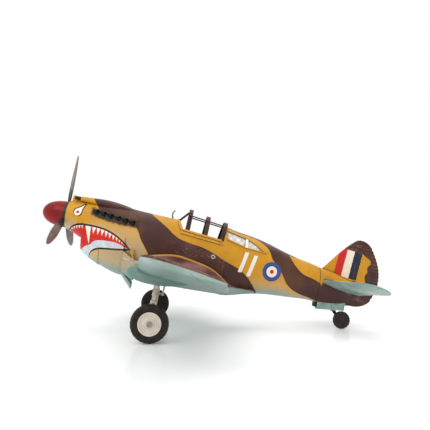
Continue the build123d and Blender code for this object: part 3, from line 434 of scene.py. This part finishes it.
def eye(paint):
    """A plain drop-shaped eye with a dark outline."""
    aft = paint.x - EYE[0]
    rise = paint.z - EYE[1]
    across = aft * math.cos(EYE_LEAN) - rise * math.sin(EYE_LEAN)
    along = aft * math.sin(EYE_LEAN) + rise * math.cos(EYE_LEAN)
    width = paint.through(along, EYE_OUTLINE)
    inside = (width - across.size()).step(0.1, 0.15)
    outside = (width - across.size()).step(-1.25, 0.2) * along.within(-5.4, 13.0, 0.2)
    paint.coat(BLACK, outside)
    paint.coat(TOOTH, inside * along.within(-4.1, 11.4, 0.2))
    paint.coat(MOUTH_RED, ~distance(across, along).step(PUPIL_RADIUS, 0.35))


RINGS = (270.6, -25.0)
RING_COATS = ((11.2, RING_BLUE), (6.3, CREAM), (2.4, SIGNAL_RED))
BAR_LEAN = 0.235       # of the slanted bars, from upright
BARS = ((238.3, 242.7, -31.5, -8.0), (249.6, 254.0, -34.5, -10.0))     # x and z, from and to


def side_marks(paint):
    """Plain rings and two plain slanted bars on each side."""
    spread = distance(paint.x - RINGS[0], paint.z - RINGS[1])
    for radius, shade in RING_COATS:
        paint.coat(shade, ~spread.step(radius, 0.2))
    lean = paint.x - paint.z * BAR_LEAN
    for left, right, low, high in BARS:
        paint.coat(TOOTH, lean.within(left, right, 0.25) * paint.z.within(low, high, 0.25))


EXHAUST_LINE = [(50, 11.0), (60, 7.6), (76, 4.4), (92, 2.6), (110, 2.0), (124, 1.5)]
SOOT_REACH = 4.6       # above and below the line of the exhausts
SOOT_RUN = (57.0, 112.0)


def soot(paint):
    """Black smudges round the exhausts, drawn out towards the tail."""
    ragged = (paint.noise(3.0, 3.0, seed=12.0) - 0.5) * 5.0
    off = (paint.z - paint.through(paint.x, EXHAUST_LINE)).size() + ragged
    paint.coat(BLACK, ~off.step(SOOT_REACH, 1.6) * paint.x.within(*SOOT_RUN, 2.0))


HANDLED_X = (158.0, 216.0)
HANDLED_Z = (-24.0, -11.0)


def scratches(paint, brown):
    """Pale scratches where hands have held the body, behind the wing's highest point."""
    region = paint.x.within(*HANDLED_X, 6.0) * paint.z.within(*HANDLED_Z, 3.0)
    fine = paint.noise(1.6, 3.0, (2.2, 1, 0.7), seed=13.0).step(0.66, 0.03)
    paint.coat(BARE_METAL, region * fine * brown * 0.55)


def fuselage_paint():
    paint = Paint("fuselage_paint")
    brown = camouflage(paint)
    scratches(paint, brown)
    soot(paint)
    mouth(paint)
    eye(paint)
    side_marks(paint)
    for seam in SIDE_SEAMS:
        line = ~(paint.x - seam).size().step(0.16, 0.1)
        paint.coat(DIRT_AND_SHADE, line * 0.35)
        paint.relief(~line, 0.06)
    paint.coat(SKY, ~paint.facing().step(-0.55, 0.1) * paint.x.within(*WING_ROOT, 3.0))
    gloss = brushed_on(paint, corner_shade_and_dirt=0.5, wear=0.22)
    tail_seams(paint)
    return paint.done(roughness=gloss)


def tail_seams(paint):
    """Dark lines where the tail joins the body, the rudder and the fin's foot."""
    joint = ~(paint.x - TAIL_SEAM).size().step(0.45, 0.15)
    hinge = ~(paint.x - RUDDER_SEAM).size().step(0.6, 0.15) * ~paint.z.step(-21.0, 0.4)
    foot = ~(paint.z - paint.through(paint.x, FIN_FOOT)).size().step(0.32, 0.16)
    paint.coat(BLACK, (joint | hinge) * 0.85)
    paint.coat(DARK_BROWN, foot * paint.x.within(TAIL_SEAM, RUDDER_SEAM, 0.3) * 0.8)


def fillet_paint():
    """Brown fillets, rubbed to a dull pink, with sand along their upper seam."""
    paint = Paint("fillet_paint")
    paint.coat(BROWN)
    rubbed = paint.noise(14.0, 4.0, (2.6, 1, 1), seed=21.0)
    paint.coat(RUBBED_BROWN, rubbed.step(0.5, 0.14) * 0.75)
    paint.coat(colour(168, 116, 92), rubbed.step(0.64, 0.06) * 0.5)
    seam = paint.edges(1.6) * paint.z.step(-50.0, 1.0) * ~paint.x.step(222.0, 3.0)
    paint.coat(OCHRE, seam * 0.8)
    ragged_z = paint.z + paint.noise(9.0, 3.0, seed=4.0) * 2.0
    paint.coat(SKY, ~ragged_z.step(-49.6, 0.5) * paint.x.step(180.0, 2.0))
    paint.coat(SKY, ~paint.facing().step(-0.2, 0.1))
    return paint.done(roughness=brushed_on(paint, corner_shade_and_dirt=0.7, wear=0.3))


# ---------------------------------------------------------------- wing and tail paint
WING_BANDS = ((-40.0, 38.0), (96.0, 150.0), (214.0, 262.0))
BROWN_TIP = 182.0      # how far out the brown of the wing tips starts


def top_bands(paint, over):
    """Slanting brown bands over sand, where the mask over is 1."""
    sway = (paint.y / 31.0).math("SINE") * 13.0 + (paint.noise(8.0, 2.0, seed=2.0) - 0.5) * 2.0
    reach = (paint.x - 110.0) * 1.1 + paint.y.size() * 0.62 + sway
    brown = None
    for start, end in WING_BANDS:
        band = reach.within(start, end, 0.5)
        brown = band if brown is None else brown | band
    paint.coat(OCHRE, over)
    paint.coat(DEEP_OCHRE, paint.noise(17.0, 4.0, seed=11.0).step(0.55, 0.12) * 0.35 * over)
    paint.coat(BROWN, brown * over)
    paint.coat(RUBBED_BROWN, brown * rubbed_patches(paint) * over * 0.3)


def underside(paint):
    """Pale sky paint with soft darker patches."""
    paint.coat(SKY)
    paint.coat(DEEP_SKY, paint.noise(34.0, 3.0, (1.6, 1, 1), seed=14.0).step(0.52, 0.16) * 0.7)
    paint.coat(PALE_SKY, paint.noise(26.0, 3.0, seed=15.0).step(0.6, 0.1) * 0.45)
    paint.coat(DIRT_AND_SHADE, paint.noise(6.0, 4.0, (1, 1, 1), seed=16.0).step(0.7, 0.06) * 0.25)


def upper_wing_paint():
    paint = Paint("upper_wing_paint")
    top_bands(paint, 1.0)
    sway = (paint.x / 17.0).math("SINE") * 6.0 + paint.noise(9.0, 2.0, seed=22.0) * 4.0
    tip = (paint.y.size() + sway).step(BROWN_TIP, 0.6)
    rubbed = paint.noise(10.0, 4.0, (3.0, 1, 1), seed=21.0).step(0.52, 0.12)
    paint.coat(BROWN, tip)
    paint.coat(RUBBED_BROWN, tip * rubbed * 0.5)
    # painted shade: darker brown in the corners that ambient occlusion finds
    paint.coat(DARK_BROWN, paint.crevices(1.5) * 0.6)
    return paint.done(roughness=brushed_on(paint, corner_shade_and_dirt=0.6, wear=0.5))


HINGE_ROOT = 218.0     # x of the wing flaps' hinge line at the centreline
HINGE_SLOPE = 0.22     # how far it runs forward for each millimetre outwards


def lower_wing_paint():
    paint = Paint("lower_wing_paint")
    underside(paint)
    # painted shade: darker sky over the inner underside of the wings, under the body
    paint.coat(DEEP_SKY, ~paint.y.size().step(200.0, 20.0) * 0.8)
    hinge = ~(paint.x + paint.y.size() * HINGE_SLOPE - HINGE_ROOT).size().step(0.45, 0.2)
    hinge = hinge * paint.y.size().within(60.0, 232.0, 1.0)
    paint.coat(DARK_BROWN, hinge * 0.7)
    paint.relief(~hinge, 0.15)
    return paint.done(roughness=brushed_on(paint, corner_shade_and_dirt=0.6, wear=0.35))


def tailplane_paint():
    paint = Paint("tailplane_paint")
    underside(paint)
    top_bands(paint, paint.facing().step(0.72, 0.1))
    return paint.done(roughness=brushed_on(paint, corner_shade_and_dirt=0.5, wear=0.35))


FIN_LEAN = 0.12
FIN_STRIPES = ((351.6, 361.2, SIGNAL_RED), (361.2, 370.6, CREAM), (370.6, 380.6, NAVY))
RUDDER_PATCH = [(-22, 392), (-17, 390), (-12, 389), (-6, 391.5), (-1, 391), (5, 394.5), (11, 388),
                (15, 382)]


def tail_paint():
    """Fin and rudder: plain upright stripes on sand, brown towards the top and trailing edge."""
    paint = Paint("tail_paint")
    wobble = (paint.noise(2.6, 3.0, seed=2.0) - 0.5) * 1.2
    x = paint.x + wobble
    z = paint.z
    paint.coat(BROWN)
    paint.coat(RUBBED_BROWN, paint.noise(8.0, 3.0, (2.5, 1, 0.8), seed=6.0).step(0.58, 0.1) * 0.3)
    foot = z + (x - 351.0) * 0.152
    low = ~(z + (x - 366.0) * 0.12).step(16.6, 0.3)
    patch = ~x.step(paint.through(z, RUDDER_PATCH), 0.3) * low
    fore = ~x.step(374.3, 0.1) * low
    paint.coat(OCHRE, (patch * foot.step(-15.5, 0.3)) | (fore * foot.step(-30.0, 0.3)))
    lean = x - z * FIN_LEAN
    for left, right, shade in FIN_STRIPES:
        paint.coat(shade, lean.within(left, right, 0.3) * foot.step(-14.6, 0.3) * low)
    flecks = paint.noise(1.3, 4.0, seed=17.0).step(0.66, 0.05)
    paint.coat(BARE_METAL, flecks * 0.25)
    gloss = brushed_on(paint, corner_shade_and_dirt=0.6, wear=0.3, dents=0.2)
    tail_seams(paint)
    return paint.done(roughness=gloss)


# ---------------------------------------------------------------- smaller finishes
def plain_paint(name, base, shade, edge_wear_and_highlight, roughness=0.4, wear=0.8, corner_shade_and_dirt=0.8):
    """One brushed colour with a darker shade in patches and worn edges, partly painted highlight on
    dark parts.
    """
    paint = Paint(name)
    paint.coat(base)
    paint.coat(shade, paint.noise(6.0, 4.0, seed=18.0).step(0.52, 0.12) * 0.6)
    paint.coat(edge_wear_and_highlight, paint.edges(0.8) * paint.noise(1.8, 3.0, seed=19.0).step(0.46, 0.08) * wear)
    gloss = brushed_on(paint, corner_shade_and_dirt=corner_shade_and_dirt, wear=0.0)
    return paint.done(roughness=gloss + (roughness - BRUSHED_GLOSS))


def spinner_paint():
    paint = Paint("spinner_paint")
    paint.coat(colour(134, 2, 10))
    paint.coat(colour(88, 3, 8), paint.noise(11.0, 3.0, seed=20.0).step(0.55, 0.12) * 0.5)
    paint.coat(colour(120, 24, 22), paint.noise(0.8, 3.0, seed=5.0).step(0.66, 0.06) * 0.5)
    # painted shade: the dark dirt colour in the corners that ambient occlusion finds
    paint.coat(DIRT_AND_SHADE, paint.crevices(3.0) * 0.7)
    paint.relief(paint.noise(9.0, 1.0, seed=7.0), 0.15)
    paint.relief(paint.noise(1.2, 3.0, seed=8.0), 0.015)
    paint.shader.inputs["Specular IOR Level"].default_value = 0.2
    paint.shader.inputs["Coat Weight"].default_value = 0.12
    paint.shader.inputs["Coat Roughness"].default_value = 0.12
    return paint.done(roughness=paint.noise(3.0, 3.0, seed=9.0) * 0.2 + 0.3)


def metal(name, base, shade, roughness=0.4, metallic=1.0, streak=(1, 1, 1)):
    """Bare or thinly painted metal with streaks, tarnish, fine grain and painted shade in its
    crevices.
    """
    paint = Paint(name)
    streaks = paint.noise(2.4, 4.0, streak, seed=22.0)
    paint.coat(base)
    paint.coat(shade, streaks.step(0.5, 0.14) * 0.7)
    paint.coat(DIRT_AND_SHADE, paint.noise(7.0, 3.0, seed=23.0).step(0.6, 0.1) * 0.35)
    # painted shade: near black in the crevices that ambient occlusion finds, meant also as grime
    paint.coat(CREVICE_SHADE_AND_GRIME, paint.crevices(2.5) * 0.7)
    paint.coat(BARE_METAL, paint.edges(0.5) * 0.45)
    paint.relief(streaks, 0.06)
    paint.relief(paint.noise(0.6, 3.0, seed=24.0), 0.02)
    return paint.done(roughness=streaks * 0.24 + (roughness - 0.12), metallic=metallic)


def rubber():
    paint = Paint("tyre_rubber")
    paint.coat(colour(26, 25, 24))
    # brownish edges on the tyre's ridges: scuffs, and partly painted highlight
    scuffs_and_highlights = paint.edges(0.7) * paint.noise(2.0, 3.0, seed=25.0).step(0.45, 0.1)
    paint.coat(colour(84, 66, 54), scuffs_and_highlights * 0.8)
    paint.coat(colour(58, 50, 44), paint.noise(5.0, 4.0, seed=26.0).step(0.58, 0.1) * 0.5)
    paint.relief(paint.noise(0.7, 4.0, seed=27.0), 0.06)
    paint.relief(paint.noise(6.0, 2.0, seed=28.0), 0.1)
    return paint.done(roughness=paint.noise(2.0, 3.0, seed=29.0) * 0.25 + 0.36)


HUB_PLACE = (144.2, -93.6)
HUB_GROOVES = (3.4, 7.4)           # radii
HUB_INSIDE = 88.0                  # y inside which the hubs are black


def hub_paint():
    """Cream enamel on the outer face of a main wheel's hub, black towards the leg."""
    paint = Paint("hub_paint")
    paint.coat(colour(226, 214, 198))
    paint.coat(colour(204, 190, 172), paint.noise(6.0, 4.0, seed=18.0).step(0.52, 0.12) * 0.6)
    spread = distance(paint.x - HUB_PLACE[0], paint.z - HUB_PLACE[1])
    for radius in HUB_GROOVES:
        paint.coat(colour(150, 140, 128), ~(spread - radius).size().step(0.14, 0.12) * 0.6)
    gloss = brushed_on(paint, corner_shade_and_dirt=0.7, wear=0.0)
    paint.coat(colour(20, 20, 20), ~paint.y.size().step(HUB_INSIDE, 0.5))
    return paint.done(roughness=gloss)


def blade_paint():
    """Rubbed taupe blades, dark at the root and along their edges."""
    paint = Paint("blade_metal")
    spread = distance(paint.y, paint.z)
    streaks = paint.noise(2.4, 4.0, (1, 4, 4), seed=22.0)
    paint.coat(colour(138, 124, 118))
    paint.coat(colour(104, 92, 88), streaks.step(0.5, 0.14) * 0.7)
    paint.coat(colour(160, 124, 106), paint.noise(3.0, 4.0, seed=33.0).step(0.62, 0.06) * 0.6)
    paint.coat(colour(46, 44, 40), ~(spread + (streaks - 0.5) * 8.0).step(29.0, 4.0) * 0.9)
    paint.coat(colour(52, 46, 42), paint.edges(0.6) * 0.8)
    paint.relief(streaks, 0.08)
    paint.relief(paint.noise(0.6, 3.0, seed=24.0), 0.03)
    return paint.done(roughness=streaks * 0.24 + 0.34, metallic=0.25)


def window_frame_paint():
    """Sand rims with a white divider between the panes."""
    paint = Paint("window_frame_paint")
    paint.coat(OCHRE)
    paint.coat(DEEP_OCHRE, paint.noise(6.0, 4.0, seed=18.0).step(0.52, 0.12) * 0.6)
    divider = paint.x.within(235.0, 239.0, 0.2) * paint.z.within(-2.6, 7.0, 0.3)
    paint.coat(colour(238, 234, 222), divider)
    paint.coat(SAND, paint.edges(0.6) * 0.5)
    return paint.done(roughness=brushed_on(paint, corner_shade_and_dirt=1.2, wear=0.3))


def sooty():
    paint = Paint("soot_metal")
    paint.coat(colour(24, 23, 22))
    paint.coat(colour(96, 72, 44), paint.noise(2.2, 4.0, seed=30.0).step(0.62, 0.05) * 0.55)
    # painted shade: black in the corners that ambient occlusion finds, over the soot colour
    paint.coat(BLACK, paint.crevices(3.0))
    paint.relief(paint.noise(1.2, 4.0, seed=31.0), 0.14)
    return paint.done(roughness=paint.noise(2.0, 3.0, seed=32.0) * 0.3 + 0.35)


def dress(material, *names):
    """Gives CAD nodes a material."""
    for name in names:
        slots = frame["nodes"][name].data.materials
        slots.clear()
        slots.append(material)


body_paint = fuselage_paint()
tail_finish = tail_paint()
# on the dark canopy the lighter edge colour is partly wear, partly painted highlight
dark_trim = plain_paint("canopy_paint", DARK_BROWN, BLACK, colour(150, 108, 96), wear=0.5)
bright = metal("bright_metal", colour(196, 186, 170), colour(140, 130, 116), roughness=0.42,
               metallic=0.7)
steel = metal("plain_steel", colour(150, 148, 144), colour(110, 106, 100), roughness=0.38)
black_rubber = rubber()
# on the black tail-wheel parts the brown edge colour is partly wear, partly painted highlight
black_enamel = plain_paint("tail_hub_paint", colour(36, 34, 31), BLACK, colour(110, 92, 74))
plate_metal = metal("hub_metal", colour(62, 60, 58), colour(38, 38, 38), roughness=0.45,
                    metallic=0.4)

dress(body_paint, "nose_cowl", "chin_scoop", "port_front_fuselage", "starboard_front_fuselage",
      "port_rear_fuselage", "starboard_rear_fuselage", "tail_cone", "cooling_flaps", "chin_band",
      "carburettor_scoop", "gun_fairings")
dress(fillet_paint(), "wing_fillets")
dress(upper_wing_paint(), "port_wing_upper_skin", "starboard_wing_upper_skin")
dress(lower_wing_paint(), "port_wing_lower_skin", "starboard_wing_lower_skin", "gear_pods")
dress(tailplane_paint(), "tailplanes", "elevators")
dress(tail_finish, "fin", "rudder")
dress(plain_paint("trim_paint", OCHRE, DEEP_OCHRE, colour(232, 200, 140), wear=0.7, corner_shade_and_dirt=1.2),
      "cockpit_coaming", "flap_hinges")
dress(window_frame_paint(), "window_frames")
dress(dark_trim, "windscreen_arch", "middle_arch", "rear_arch", "canopy_rails", "windscreen_struts")
dress(spinner_paint(), "spinner")
dress(blade_paint(), "propeller_blades")
dress(plate_metal, "propeller_backplate")
dress(sooty(), "exhaust_stacks", "gun_barrels", "tail_box_stop")
dress(bright, "wing_guns", "gear_legs", "gear_braces", "side_ring")
dress(steel, "gunsight", "propeller_shaft", "main_axles", "wing_spar")
dress(metal("bush_brass", colour(190, 150, 80), colour(140, 104, 50)), "shaft_bush")
dress(plain_paint("interior_paint", colour(110, 92, 66), colour(70, 56, 40), colour(150, 130, 100)),
      "cockpit_floor", "seat", "instrument_panel", "nose_bulkhead", "radiator_core")
dress(plain_paint("box_paint", SKY, DEEP_SKY, PALE_SKY), "tail_wheel_box")
dress(black_rubber, "port_tyre", "starboard_tyre", "tail_tyre")
dress(hub_paint(), "port_wheel_hub", "starboard_wheel_hub")
dress(black_enamel, "tail_wheel_hub", "tail_axle", "tail_fork")
# white pane behind the wires: painted light, standing in for the bright backdrop seen through the
# mesh
dress(plain_paint("pane_backdrop_light", colour(238, 238, 234), colour(222, 222, 216), colour(246, 246, 242),
                  corner_shade_and_dirt=0.2), "window_lattices")


# ---------------------------------------------------------------- new pieces
def piece(name, mesh, material, body, slot, *replaced):
    """Puts a new mesh on a body, in place of the CAD nodes that it stands for."""
    made = bpy.data.objects.new(name, mesh)
    mesh.materials.append(material)
    bpy.context.scene.collection.objects.link(made)
    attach(made, body)
    if replaced:
        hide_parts(*replaced)


def tree_of(*names):
    """What a ray can hit of some CAD nodes."""
    gathered = bmesh.new()
    for name in names:
        gathered.from_mesh(frame["nodes"][name].data)
    found = BVHTree.FromBMesh(gathered)
    gathered.free()
    return found


def from_side(skin, x, z, side, off):
    """Where a ray that starts off mm out on one side, at x and z, meets a skin."""
    return skin.ray_cast(row(x, side * off, z), STARBOARD * -side)


def ring_strip(work, rings, closed=True):
    """Faces between rings of vertices that follow one another."""
    following = rings[1:] + rings[:1] if closed else rings[1:]
    for near, far in zip(rings, following):
        count = len(near)
        for index in range(count):
            after = (index + 1) % count
            work.faces.new((near[index], near[after], far[after], far[index]))


def ring_round(work, centre, across, side, radius, count):
    """A ring of count vertices, radius mm out from centre in the plane of across and side."""
    ring = []
    for step in range(count):
        angle = math.tau * step / count
        spoke = across * math.cos(angle) + side * math.sin(angle)
        ring.append(work.verts.new(centre + spoke * radius * MM))
    return ring


def capped_strip(work, rings):
    """Faces between rings, with the first and last ring closed."""
    ring_strip(work, rings, closed=False)
    work.faces.new(rings[0][::-1])
    work.faces.new(rings[-1])


def tube(work, points, radii, sides=6):
    """A round wire through points, with a radius for each, closed at both ends."""
    rings = []
    across = None
    for index, point in enumerate(points):
        before = points[max(index - 1, 0)]
        after = points[min(index + 1, len(points) - 1)]
        along = (after - before).normalized()
        if across is None:
            across = along.orthogonal().normalized()
        across = (across - along * across.dot(along)).normalized()
        rings.append(ring_round(work, point, across, along.cross(across), radii[index], sides))
    capped_strip(work, rings)


def finished_mesh(name, work, smooth=True):
    bmesh.ops.recalc_face_normals(work, faces=work.faces)
    mesh = bpy.data.meshes.new(name)
    work.to_mesh(mesh)
    work.free()
    if smooth:
        for polygon in mesh.polygons:
            polygon.use_smooth = True
    return mesh


WIRE_RADIUS = 0.13     # of the wires in the rear quarter windows
WIRE_PITCH = 1.75      # between the places where wires cross
WIRE_SPACING = WIRE_PITCH * 1.4    # from wire to wire along the window
WIRE_STEP = 0.45
WIRE_MARGIN = 20.0     # how far beyond the panes the search for them starts
WIRE_START = 40.0      # how far out on a side the search starts
WIRE_SIDES = 5
WEAVE = 0.16           # how far each wire bends over and under the others
SHORTEST_RUN = 3       # fewest points that make a wire


def wire_runs(panes, side):
    """Runs of diagonal wire across every pane on one side."""
    to_aircraft = TO_ROW.transposed()
    corners = [to_aircraft @ (corner - NOSE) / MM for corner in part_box("window_lattices")]
    start_x = min(corner.x for corner in corners) - WIRE_MARGIN
    end_x = max(corner.x for corner in corners) + WIRE_MARGIN
    start_z = min(corner.z for corner in corners) - WIRE_MARGIN
    end_z = max(corner.z for corner in corners) + WIRE_MARGIN
    runs = []
    for lean in (1.0, -1.0):
        offset = start_x - (end_z - start_z)
        while offset < end_x + (end_z - start_z):
            run = []
            z = start_z
            while z < end_z:
                x = offset + lean * (z - start_z)
                place, _, _, reach = from_side(panes, x, z, side, WIRE_START)
                if place is not None and reach < WIRE_START * MM:
                    weave = math.sin(math.pi * (x - lean * z) / WIRE_PITCH) * WEAVE * lean
                    run.append(place + STARBOARD * side * weave * MM)
                else:
                    runs.append(run)
                    run = []
                z += WIRE_STEP
            runs.append(run)
            offset += WIRE_SPACING
    return [run for run in runs if len(run) >= SHORTEST_RUN]


def window_wires():
    """Woven diagonal wire in the rear quarter windows."""
    panes = tree_of("window_lattices")
    work = bmesh.new()
    for side in (-1.0, 1.0):
        for run in wire_runs(panes, side):
            tube(work, run, [WIRE_RADIUS] * len(run), sides=WIRE_SIDES)
    wire = metal("wire_mesh", colour(116, 112, 108), colour(84, 80, 76), metallic=0.3)
    piece("window_wires", finished_mesh("window_wires", work), wire, "airframe", "wire_mesh")


RIBS = 14
RIB_TOP = 21.0         # z of the highest rib
RIB_PITCH = 4.2
RIB_START = 381.0      # x where each rib starts
RIB_STEP = 1.2
RIB_RADII = (0.08, 0.5)    # where a rib starts and where it ends
RIB_RAY = 20.0         # how far out on a side the search for the rudder starts
FEWEST_RIB_POINTS = 5


def rudder_ribs():
    """Low ribs pressed into both sides of the rudder, growing towards its trailing edge."""
    skin = tree_of("rudder")
    thin, thick = RIB_RADII
    work = bmesh.new()
    for side in (-1.0, 1.0):
        for rib in range(RIBS):
            z = RIB_TOP - RIB_PITCH * rib
            run = []
            x = RIB_START
            place = from_side(skin, x, z, side, RIB_RAY)[0]
            while place is not None:
                run.append(place)
                x += RIB_STEP
                place = from_side(skin, x, z, side, RIB_RAY)[0]
            run = run[:-1]
            if len(run) >= FEWEST_RIB_POINTS:
                shares = [index / len(run) for index in range(len(run))]
                tube(work, run, [thin + (thick - thin) * share for share in shares])
    mesh = finished_mesh("rudder_ribs", work)
    piece("rudder_ribs", mesh, tail_finish, "airframe", "tail_paint")


RIM_START = 339.5      # x where the fin's rim starts
RIM_STEP = 1.2
RIM_POINTS = 44
RIM_RAY = 80.0         # z where the search for the fin's edge starts
RIM_SINK = 0.2         # how deep the rim's middle lies under that edge
BEAD = 0.75            # radius of every third point of the rim, and of the wire between
RIM_WIRE = 0.5


def fin_rim():
    """A beaded wire soldered along the upper edge of the fin and rudder."""
    skin = tree_of("fin", "rudder")
    work = bmesh.new()
    run = []
    for step in range(RIM_POINTS):
        place = skin.ray_cast(row(RIM_START + RIM_STEP * step, 0.0, RIM_RAY), -UP)[0]
        if place is not None:
            run.append(place - UP * RIM_SINK * MM)
    radii = [BEAD if index % 3 == 0 else RIM_WIRE for index in range(len(run))]
    tube(work, run, radii, sides=8)
    piece("fin_rim", finished_mesh("fin_rim", work), tail_finish, "airframe", "tail_paint")


RIVET_RADIUS = 0.55
RIVET_PROFILE = ((1.0, -0.3), (0.96, 0.25), (0.6, 0.5))    # radius and height, as shares of it
RIVET_SIDES = 8
RIVET_RAY = 60.0       # how far out on a side the search for the skin starts


def rivet(work, place, out):
    """A low round rivet head on a surface that faces out."""
    across = out.orthogonal().normalized()
    side = out.cross(across)
    rings = []
    for reach, height in RIVET_PROFILE:
        centre = place + out * height * RIVET_RADIUS * MM
        rings.append(ring_round(work, centre, across, side, reach * RIVET_RADIUS, RIVET_SIDES))
    capped_strip(work, rings)


RIVETS = [(71.6, -35.0), (72.0, -40.0), (72.4, -45.0), (98.0, -32.0), (98.0, -38.0), (98.0, -44.0),
          (98.0, -50.0), (152.5, -2.0), (152.5, 3.0), (156.0, -8.0), (213.0, -12.0), (213.0, -20.0),
          (213.0, -28.0), (329.0, -16.0), (329.0, -24.0), (329.0, -32.0), (329.0, -40.0)]


def rivets():
    """Small rivet heads on the chin strap and beside the body's joints."""
    skin = tree_of("chin_band", "chin_scoop", "port_front_fuselage", "starboard_front_fuselage",
                   "port_rear_fuselage", "starboard_rear_fuselage")
    work = bmesh.new()
    for side in (-1.0, 1.0):
        for x, z in RIVETS:
            place, out, _, _ = from_side(skin, x, z, side, RIVET_RAY)
            if place is not None:
                rivet(work, place, out if out.dot(STARBOARD) * side > 0 else -out)
    piece("rivets", finished_mesh("rivets", work), body_paint, "airframe", "fuselage_paint")


def lathe(work, centre, outline, turns, notch):
    """Turns a closed outline of (radius, y) points, in mm, about the Y axis through centre."""
    rings = []
    for turn in range(turns):
        angle = math.tau * turn / turns
        ring = []
        for radius, across in outline:
            reach = radius - notch(radius, across, turn)
            ring.append(work.verts.new(centre + Vector((
                reach * MM * math.cos(angle), across * MM, reach * MM * math.sin(angle)))))
        rings.append(ring)
    ring_strip(work, rings)


TYRE_GAP = 0.02        # between a tyre and its hub, and inside the CAD tyre's outline
LUG_DEPTH = 0.22
TURNS_PER_LUG = 4


def tyre(body, node, hub_node, ridges, lugs):
    """A tyre with ridges round its walls and notches across its tread."""
    centre = Vector(joints[body]["pos_m"])
    low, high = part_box(node)
    hub_low, hub_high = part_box(hub_node)
    radius = (high.z - low.z) / 2 / MM - TYRE_GAP
    half = (high.y - low.y) / 2 / MM - TYRE_GAP
    middle = (low.y + high.y) / 2 / MM - centre.y / MM
    bore = (hub_high.z - hub_low.z) / 2 / MM + TYRE_GAP
    wall = radius - bore
    outline = [(bore, -half * 0.62), (bore + wall * 0.08, -half * 0.86)]
    for ridge in range(ridges):
        share = 0.14 + 0.6 * ridge / ridges
        outline.append((bore + wall * share, -half * 0.9))
        outline.append((bore + wall * (share + 0.05), -half))
        outline.append((bore + wall * (share + 0.24 / ridges), -half))
        outline.append((bore + wall * (share + 0.32 / ridges), -half * 0.9))
    outline += [(bore + wall * 0.8, -half * 0.88), (bore + wall * 0.93, -half * 0.7),
                (radius - wall * 0.02, -half * 0.46), (radius, -half * 0.4),
                (radius, -half * 0.12), (radius - 0.35, -half * 0.08)]
    mirrored = [(reach, -across) for reach, across in reversed(outline)]
    closed = [(reach, across + middle) for reach, across in outline + mirrored]

    def notch(reach, across, turn):
        shoulder = reach > bore + wall * 0.9 and abs(across - middle) > half * 0.3
        return LUG_DEPTH if shoulder and turn % TURNS_PER_LUG < 2 else 0.0

    work = bmesh.new()
    lathe(work, centre, closed, lugs * TURNS_PER_LUG, notch)
    mesh = finished_mesh(node + "_tread", work, smooth=False)
    piece(node + "_tread", mesh, black_rubber, body, "tyre_rubber", node)


window_wires()
rudder_ribs()
fin_rim()
rivets()
tyre("port_wheel", "port_tyre", "port_wheel_hub", ridges=3, lugs=26)
tyre("starboard_wheel", "starboard_tyre", "starboard_wheel_hub", ridges=3, lugs=26)
tyre("tail_wheel", "tail_tyre", "tail_wheel_hub", ridges=2, lugs=16)


# ---------------------------------------------------------------- camera, lights and floor
SENSOR = 36.0          # in mm, as is the lens
LENS = 38.676
CAMERA_PLACE = (150.6, -546.9, -21.77)         # in the aircraft's frame
CAMERA_ANGLES = (95.4669, -9.7136, -5.721)     # in degrees, in the aircraft's frame


def camera_at_side():
    """The camera, a little forward of the middle on the port side."""
    data = bpy.data.cameras.new("camera")
    data.sensor_width = SENSOR
    data.lens = LENS
    camera = bpy.data.objects.new("camera", data)
    camera.location = row(*CAMERA_PLACE)
    turned = Euler([math.radians(angle) for angle in CAMERA_ANGLES]).to_matrix()
    camera.rotation_euler = (TO_ROW @ turned).to_euler()
    bpy.context.scene.collection.objects.link(camera)
    bpy.context.scene.camera = camera


WHITE = (1.0, 1.0, 1.0, 1.0)
LIGHT_TARGET = Vector((0.0, 0.0, 0.1))
FLOOR_HALF = 12.0      # half the floor's width, in metres
FLOOR_DROP = 0.0002    # how far below the wheels it lies, so that they don't cut into it


def soft_light(name, place, size, power):
    """A square lamp, size metres across, that shines at the middle of the model."""
    data = bpy.data.lights.new(name, "AREA")
    data.shape = "SQUARE"
    data.size = size
    data.energy = power
    lamp = bpy.data.objects.new(name, data)
    lamp.location = place
    lamp.rotation_euler = (LIGHT_TARGET - Vector(place)).to_track_quat("-Z", "Y").to_euler()
    bpy.context.scene.collection.objects.link(lamp)


def studio():
    """White surroundings and a white floor with a faint reflection."""
    scene = bpy.context.scene
    scene.view_settings.view_transform = "Standard"
    world = bpy.data.worlds.new("studio")
    world.use_nodes = True
    backdrop = world.node_tree.nodes["Background"]
    backdrop.inputs["Color"].default_value = WHITE
    backdrop.inputs["Strength"].default_value = 1.0
    scene.world = world
    soft_light("key", (-0.5, -0.7, 0.9), size=0.7, power=3.5)
    soft_light("top", (0.2, 0.1, 1.1), size=0.8, power=2.0)
    mesh = bpy.data.meshes.new("floor")
    work = bmesh.new()
    bmesh.ops.create_grid(work, x_segments=4, y_segments=4, size=FLOOR_HALF)
    work.to_mesh(mesh)
    work.free()
    floor = bpy.data.objects.new("floor", mesh)
    floor.location = (0.0, 0.0, -FLOOR_DROP)
    scene.collection.objects.link(floor)
    white = bpy.data.materials.new("floor_white")
    white.use_nodes = True
    shader = white.node_tree.nodes["Principled BSDF"]
    shader.inputs["Base Color"].default_value = (0.97, 0.97, 0.97, 1.0)
    shader.inputs["Roughness"].default_value = 0.1
    shader.inputs["IOR"].default_value = 1.06
    shader.inputs["Emission Color"].default_value = WHITE
    shader.inputs["Emission Strength"].default_value = 0.04
    mesh.materials.append(white)


camera_at_side()
studio()
